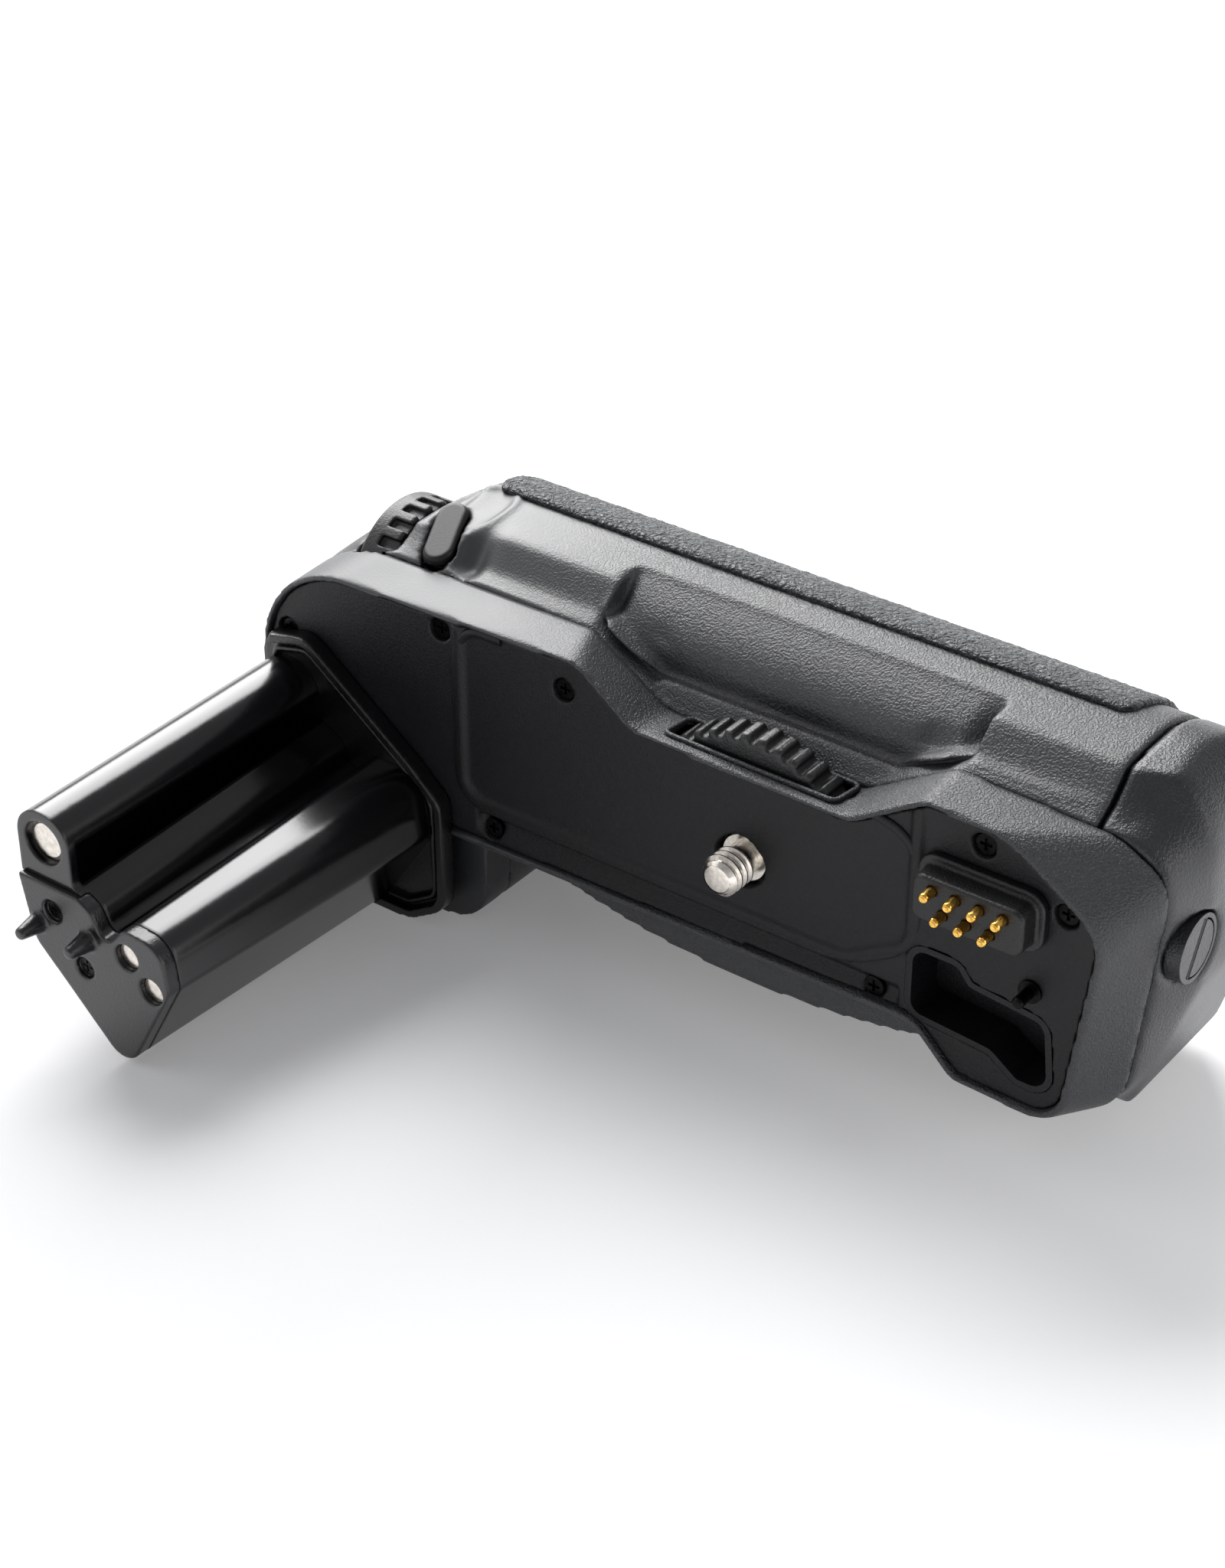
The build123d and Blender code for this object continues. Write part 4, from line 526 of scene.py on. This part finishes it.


# Leather-grained rubber: dull plates about 1.25 mm wide, with wrinkles between them darkened by
# painted shade. The larger wrinkles are in the mesh too, so that the strip's outline is uneven.
rubber = leather_grained("leather_grained_rubber", "#2c2e30", "#474b4e", 1.25, 0.34)
strip = skin_of("rubber_strip", "grip_rubber", 0.4, 4)
wrinkles = bpy.data.textures.new("leather_wrinkles", "VORONOI")
wrinkles.distance_metric = "DISTANCE"
wrinkles.weight_1, wrinkles.weight_2 = -1.0, 1.0
wrinkles.noise_scale = 0.0014
wrinkles.noise_intensity = 1.6
relief = strip.modifiers.new("relief", "DISPLACE")
relief.texture = wrinkles
relief.texture_coords = "LOCAL"
relief.mid_level = -1.0
relief.strength = 0.00028
bpy.ops.object.modifier_apply(modifier=relief.name)
settle(strip, rubber, "grip_rubber", "housing", "rubber_strip")


# The top case is the band round the mating face and the left end of the grip. It is moulded like
# the main shell, with a finer satin grain at its left end, and is screwed to the shell from inside.
# Satin polycarbonate: a long soft highlight on the left, breaking into fine grain to the right.
case_plastic = moulded(
    "satin_black_polycarbonate", "#282a2d", "#2e3033", 0.34, 0.075, 0.46, 0.65,
    fade=("X", -50.0, -5.0, 0.15),
)
band = skin_of("top_case", "top_band", 0.5, 5)
spots = points_of(band)
ease(band, 12, np.clip((spots[:, 0] - 26) / 10, 0, 1) * np.clip((spots[:, 1] - 1.2) / 2, 0, 1))
spots = points_of(band)
top = (spots[:, 1] > 8.5) & (spots[:, 1] < 9.3) & (spots[:, 0] > -72)
spots[top, 1] = 8.94
move_points(band, spots)
settle(band, case_plastic, "case_plastic", "housing", "top_case")

dial_y, dial_z, rim_inner, rim_outer, rim_left, rim_right = 19.2, 14.0, 11.6, 13.1, -79.2, -77.9
mesh = bpy.data.meshes.new("dial_opening_rim")
start = math.radians(28)
corners = [
    (rim_left, rim_inner), (rim_left, rim_outer), (rim_right, rim_outer), (rim_right, rim_inner),
]
mesh.from_pydata(
    [
        (
            x / 1000, (dial_y + radius * math.cos(start)) / 1000,
            (dial_z + radius * math.sin(start)) / 1000,
        )
        for x, radius in corners
    ],
    [(0, 1), (1, 2), (2, 3), (3, 0)], [(0, 1, 2, 3)],
)
dial_rim = bpy.data.objects.new("dial_opening_rim", mesh)
bpy.context.scene.collection.objects.link(dial_rim)
bpy.ops.object.select_all(action="DESELECT")
dial_rim.select_set(True)
bpy.context.view_layer.objects.active = dial_rim
bpy.ops.object.mode_set(mode="EDIT")
bpy.ops.mesh.select_all(action="SELECT")
bpy.ops.mesh.spin(
    steps=40, angle=math.radians(-130), center=(0.0, dial_y / 1000, dial_z / 1000),
    axis=(-1.0, 0.0, 0.0),
)
bpy.ops.mesh.select_all(action="SELECT")
bpy.ops.mesh.normals_make_consistent(inside=False)
bpy.ops.object.mode_set(mode="OBJECT")
rounding = dial_rim.modifiers.new("rounding", "BEVEL")
rounding.width = 0.0004
rounding.segments = 4
bpy.ops.object.modifier_apply(modifier=rounding.name)
bpy.ops.object.shade_smooth_by_angle(angle=math.radians(50))
settle(dial_rim, case_plastic, "case_plastic", "housing")

slot_half, slot_front, slot_back, rib_width, rib_rise = 14.3, 2.7, 8.6, 0.75, 0.45
bpy.ops.object.select_all(action="DESELECT")
bpy.ops.mesh.primitive_plane_add(size=0.001)
frame_rib = bpy.context.object
frame_rib.name = "wheel_slot_rib"
bpy.ops.object.mode_set(mode="EDIT")
bpy.ops.transform.resize(
    value=(2 * (slot_half + rib_width), slot_back - slot_front + 2 * rib_width, 1.0),
)
bpy.ops.mesh.bevel(offset=0.0016, segments=6, affect="VERTICES")
bpy.ops.mesh.inset(thickness=rib_width / 1000)
bpy.ops.mesh.delete(type="FACE")
bpy.ops.mesh.select_all(action="SELECT")
bpy.ops.mesh.extrude_region_move(TRANSFORM_OT_translate={"value": (0.0, 0.0, 2 * rib_rise / 1000)})
bpy.ops.mesh.select_all(action="SELECT")
bpy.ops.mesh.normals_make_consistent(inside=False)
bpy.ops.object.mode_set(mode="OBJECT")
spots = points_of(frame_rib)
spots[:, 1] += (slot_front + slot_back) / 2
spots[:, 2] += 15.55 - 0.13 * spots[:, 1] - rib_rise - 0.012 * spots[:, 0]
move_points(frame_rib, spots)
rounding = frame_rib.modifiers.new("rounding", "BEVEL")
rounding.width = 0.0003
rounding.segments = 3
bpy.ops.object.modifier_apply(modifier=rounding.name)
bpy.ops.object.shade_smooth_by_angle(angle=math.radians(60))
settle(frame_rib, case_plastic, "case_plastic", "housing")


# The base plate is the flat mating face with a low rounded bead and a gutter in front. It is
# glass-filled nylon with a fine matt grain, laid on a ledge in the band and held by seven screws.
# Glass-filled nylon is the blackest and dullest of the mouldings, with a fine even grain.
plate_nylon = moulded(
    "matt_black_nylon", "#090a0d", "#0c0d11", 0.34, 0.035, 0.5, 0.32, fade=("Z", -7.0, -11.0, 0.5),
)
plate = skin_of("base_plate", "mating_plate", 0.4, 2)
settle(plate, plate_nylon, "plate_plastic", "housing", "base_plate")

bead_path = [
    (22.0, 16.9), (29.6, 15.2), (29.6, -2.7), (18.7, -9.4), (-51.6, -9.4), (-51.6, 21.2),
    (-43.0, 21.2),
]
bead_radius, bead_turn, plate_y, bead_proud = 0.8, 5.0, 0.8, 0.55
mesh = bpy.data.meshes.new("panel_bead")
mesh.from_pydata(
    [(x / 1000, plate_y / 1000, z / 1000) for x, z in bead_path],
    [(i, i + 1) for i in range(len(bead_path) - 1)], [],
)
bead = bpy.data.objects.new("panel_bead", mesh)
bpy.context.scene.collection.objects.link(bead)
bpy.ops.object.select_all(action="DESELECT")
bead.select_set(True)
bpy.context.view_layer.objects.active = bead
bpy.ops.object.mode_set(mode="EDIT")
bpy.ops.mesh.select_all(action="SELECT")
bpy.ops.mesh.bevel(offset=bead_turn / 1000, segments=8, affect="VERTICES")
bpy.ops.object.mode_set(mode="OBJECT")
bpy.ops.object.convert(target="CURVE")
bead.data.bevel_depth = bead_radius / 1000
bead.data.bevel_resolution = 4
bead.data.use_fill_caps = True
bpy.ops.object.convert(target="MESH")
spots = points_of(bead)
spots[:, 1] = plate_y + (spots[:, 1] - plate_y) * bead_proud / bead_radius
move_points(bead, spots)
bpy.ops.object.shade_smooth()
settle(bead, plate_nylon, "plate_plastic", "housing")


# The case screws are small pan-head screws of black oxide steel with cross recesses: seven in the
# plate, one in the pocket and two in the battery tower.
# Black oxide keeps the sheen of the steel, in a very dark grey.
black_steel = plated("black_oxide_steel", "#121212", "#1e1e1e", 0.32)
for name in ("plate_screws", "pocket_screw", "tower_screws", "locating_pin"):
    dress(name, black_steel)


# The storage pocket is a nylon tub behind the plate that takes the camera's terminal cover. The
# locating pin beside it is a turned steel peg, blackened and pressed into the plate.
# The same dull black nylon as the plate, with sharper edges.
tub_nylon = moulded(
    "matt_black_tub_nylon", "#090a0d", "#0c0d11", 0.34, 0.03, 0.5, 0.32, edge_mm=0.05,
)
dress("pocket_tub", tub_nylon)


# The connector block carries seven sprung contact pins in two rows. The block is moulded in matt
# black nylon, and the pins are turned brass with gold plating and a small dimple in each tip.
# Connector nylon: dull and even, a little lighter than the plate round it.
block_plastic = moulded("matt_black_connector_nylon", "#0b0c0e", "#0f1012", 0.3, 0.02, 0.42, 0.45)
block = skin_of("connector_block", "connector_housing", 0.22, 3)
settle(block, block_plastic, "block_plastic", "housing", "connector_block")

# Gold plating over a turned pin: a warm yellow with a small sharp highlight on each tip.
gold = plated("gold_plating", "#d09a3c", "#f0c66c", 0.2)
pin_radius, tip_flat, dimple = 0.75, 0.42, 0.16
for number in range(1, 8):
    node = "contact_pin_" + str(number)
    least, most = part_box(node)
    middle = (least + most) / 2 * 1000
    tip, foot = least.y * 1000, most.y * 1000
    outline = [
        (0.0, tip + dimple), (tip_flat * 0.7, tip + dimple * 0.6), (tip_flat, tip),
        (tip_flat + 0.12, tip + 0.02), (pin_radius - 0.06, tip + 0.22), (pin_radius, tip + 0.5),
        (pin_radius, foot - 8.4), (pin_radius, foot),
    ]
    mesh = bpy.data.meshes.new("sprung_pin_" + str(number))
    mesh.from_pydata(
        [((middle.x + r) / 1000, y / 1000, middle.z / 1000) for r, y in outline],
        [(i, i + 1) for i in range(len(outline) - 1)], [],
    )
    pin = bpy.data.objects.new("sprung_pin_" + str(number), mesh)
    bpy.context.scene.collection.objects.link(pin)
    bpy.ops.object.select_all(action="DESELECT")
    pin.select_set(True)
    bpy.context.view_layer.objects.active = pin
    bpy.ops.object.mode_set(mode="EDIT")
    bpy.ops.mesh.select_all(action="SELECT")
    bpy.ops.mesh.spin(
        steps=28, angle=math.tau, center=(middle.x / 1000, 0.0, middle.z / 1000),
        axis=(0.0, 1.0, 0.0),
    )
    bpy.ops.mesh.select_all(action="SELECT")
    bpy.ops.mesh.remove_doubles(threshold=0.000005)
    bpy.ops.mesh.select_non_manifold()
    bpy.ops.mesh.edge_face_add()
    bpy.ops.mesh.select_all(action="SELECT")
    bpy.ops.mesh.normals_make_consistent(inside=False)
    bpy.ops.object.mode_set(mode="OBJECT")
    bpy.ops.object.shade_smooth_by_angle(angle=math.radians(50))
    settle(pin, gold, "gold", node, node)


# The circuit board stands behind the connector: green glass-epoxy with two black chips.
dress("circuit_board", board_green)


# The camera screw is turned in brass and nickel plated, with a 1/4 inch thread of 20 turns to the
# inch, which is 1.27 mm a turn. It is pressed into the thumbwheel and kept in by a spring clip.
crest, root, pitch = 3.175, 2.55, 1.27
thread_top, thread_foot = -5.0, 0.0
least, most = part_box("camera_screw")
centre_x, centre_z = (least.x + most.x) / 2, (least.z + most.z) / 2
profile = [(root, 0.0), (root + 0.04, 0.10), (crest, 0.48), (crest, 0.72), (root + 0.04, 1.12)]
mesh = bpy.data.meshes.new("camera_screw_thread")
mesh.from_pydata(
    [(r / 1000, (thread_top - 0.9 * pitch + y) / 1000, 0.0) for r, y in profile + [(root, pitch)]],
    [(i, i + 1) for i in range(len(profile))], [],
)
thread = bpy.data.objects.new("camera_screw_thread", mesh)
bpy.context.scene.collection.objects.link(thread)
bpy.ops.object.select_all(action="DESELECT")
thread.select_set(True)
bpy.context.view_layer.objects.active = thread
winding = thread.modifiers.new("winding", "SCREW")
winding.axis = "Y"
winding.steps = winding.render_steps = 48
winding.iterations = 5
winding.screw_offset = pitch / 1000
winding.use_merge_vertices = True
winding.merge_threshold = 0.000004
bpy.ops.object.modifier_apply(modifier=winding.name)
spots = points_of(thread)
spots[:, 1] = np.clip(spots[:, 1], thread_top, thread_foot + 0.4)
reach_out = np.hypot(spots[:, 0], spots[:, 2])
limit = np.minimum(2.25 + 1.1 * (spots[:, 1] - thread_top), 9.0)
limit = np.where(spots[:, 1] > thread_foot, root, limit)
shrink = np.minimum(1.0, limit / reach_out)
spots[:, 0] *= shrink
spots[:, 2] *= shrink
spots[:, 0] += centre_x * 1000
spots[:, 2] += centre_z * 1000
move_points(thread, spots)
bpy.ops.object.mode_set(mode="EDIT")
bpy.ops.mesh.select_all(action="SELECT")
bpy.ops.mesh.remove_doubles(threshold=0.000004)
bpy.ops.mesh.normals_make_consistent(inside=False)
bpy.ops.object.mode_set(mode="OBJECT")
bpy.ops.object.shade_smooth_by_angle(angle=math.radians(35))

core = [
    (0.0, -5.02), (1.95, -5.02), (2.2, -4.93), (root - 0.03, -4.6), (root - 0.03, 1.9),
    (3.7, 1.9), (3.95, 2.15), (3.95, 3.1), (4.0, 3.1), (4.0, 10.15), (3.3, 10.15), (3.3, 10.75),
    (4.0, 10.75), (4.0, 10.8), (3.8, 11.0), (0.0, 11.0),
]
mesh = bpy.data.meshes.new("camera_screw_core")
mesh.from_pydata(
    [((centre_x * 1000 + r) / 1000, y / 1000, centre_z) for r, y in core],
    [(i, i + 1) for i in range(len(core) - 1)], [],
)
screw = bpy.data.objects.new("threaded_camera_screw", mesh)
bpy.context.scene.collection.objects.link(screw)
bpy.ops.object.select_all(action="DESELECT")
screw.select_set(True)
bpy.context.view_layer.objects.active = screw
bpy.ops.object.mode_set(mode="EDIT")
bpy.ops.mesh.select_all(action="SELECT")
bpy.ops.mesh.spin(steps=48, angle=math.tau, center=(centre_x, 0.0, centre_z), axis=(0.0, 1.0, 0.0))
bpy.ops.mesh.select_all(action="SELECT")
bpy.ops.mesh.remove_doubles(threshold=0.000005)
bpy.ops.mesh.normals_make_consistent(inside=False)
bpy.ops.object.mode_set(mode="OBJECT")
bpy.ops.object.shade_smooth_by_angle(angle=math.radians(35))
thread.select_set(True)
bpy.ops.object.join()
settle(screw, nickel, "nickel", "clamp_screw", "camera_screw")
dress("screw_clip", steel)


# The thumbwheel is a drum of black polycarbonate with rounded grips round its rim. It turns under a
# pressed steel bracket, on a thin nylon washer, and its rim stands out of the back of the band.
wheel = skin_of("thumbwheel", "clamp_thumbwheel", 0.3, 4)
settle(wheel, dial_plastic, "wheel_plastic", "clamp_screw", "thumbwheel")
dress("wheel_bracket", steel)
# Natural nylon is cream white and slightly waxy.
natural_nylon = moulded("natural_nylon", "#c9c4b4", "#d5d0c1", 0.4, 0.01, 0.4, 0.4)
dress("wheel_washer", natural_nylon)


# The battery tower goes into the camera's battery bay. It is moulded in polished black ABS, and
# long mirror-like highlights run down its lobes.
# Polished ABS: deep black with mirror-like highlights, and no grain.
polished_abs = moulded(
    "polished_black_abs", "#0d0d10", "#101013", 0.5, 0.0012, 0.17, 0.6, edge_mm=0.7,
)
dress("tower_shell", polished_abs)
# The end cover is the same ABS from a finely eroded mould, so its face is softer and greyer.
lid_abs = moulded("fine_matt_black_abs", "#0f1013", "#131417", 0.35, 0.012, 0.3, 0.6)
lid = skin_of("tower_cover", "tower_end_cover", 0.22, 4)
settle(lid, lid_abs, "tower_plastic", "housing", "tower_cover")
dress("tower_contacts", nickel)


# The tower collar is the stepped foot round the tower, moulded in satin black polycarbonate and
# clipped to the plate. Its lip is cut away in steps where the camera's battery door hinges.
# Satin polycarbonate: a soft line of light along each step.
collar_plastic = moulded("satin_black_collar", "#0f1012", "#131416", 0.4, 0.015, 0.33, 0.5)
tower_foot = skin_of("tower_collar", "tower_foot_collar", 0.3, 3)
settle(tower_foot, collar_plastic, "tower_plastic", "housing", "tower_collar")


# The battery chamber is the plain ABS box inside the grip that guides the tray, with spring
# contacts of nickel-plated steel at its end.
dress("battery_chamber", inner_plastic)
dress("chamber_contacts", nickel)


# The battery holder draws out of the right end: an ABS tray with six cells in shrink-wrap, and the
# end cap moulded in the same satin polycarbonate as the band.
dress("battery_tray", inner_plastic)
dress("tray_contacts", nickel)
# Shrink-wrap on the cells is smooth, glossy and blue.
wrap = moulded("cell_shrink_wrap", "#1f4f7a", "#26588a", 0.5, 0.004, 0.25, 0.5)
for number in range(1, 7):
    dress("cell_" + str(number), wrap)
cap_seam, knob_y, knob_z, knob_clear = 51.5, 15.6, 4.2, 7.0
cap = skin_of("battery_door", "battery_end_cap", 0.55, 6)
spots = points_of(cap)
crown = np.clip((spots[:, 0] - 55) / 5, 0, 1) * np.clip((43 - spots[:, 1]) / 4, 0, 1)
crown *= np.hypot(spots[:, 1] - knob_y, spots[:, 2] - knob_z) > knob_clear
ease(cap, 30, crown)
spots = points_of(cap)
inner_end = (spots[:, 0] < cap_seam + 0.4) & (spots[:, 0] > cap_seam - 0.5)
spots[inner_end, 0] = cap_seam
move_points(cap, spots)
# The end cap's satin is smoother than the band's, with broader and brighter highlights.
cap_plastic = moulded("satin_black_end_cap", "#212326", "#26282b", 0.4, 0.035, 0.36, 0.55)
settle(cap, cap_plastic, "shell_plastic", "battery_holder", "battery_door")


# The lock: a quarter-turn knob with a folding half-moon handle in its face, and a steel cam on its
# shaft that hooks behind a rib in the shell.
for name in ("lock_knob", "lock_handle"):
    dress(name, cap_plastic)
dress("lock_cam", steel)
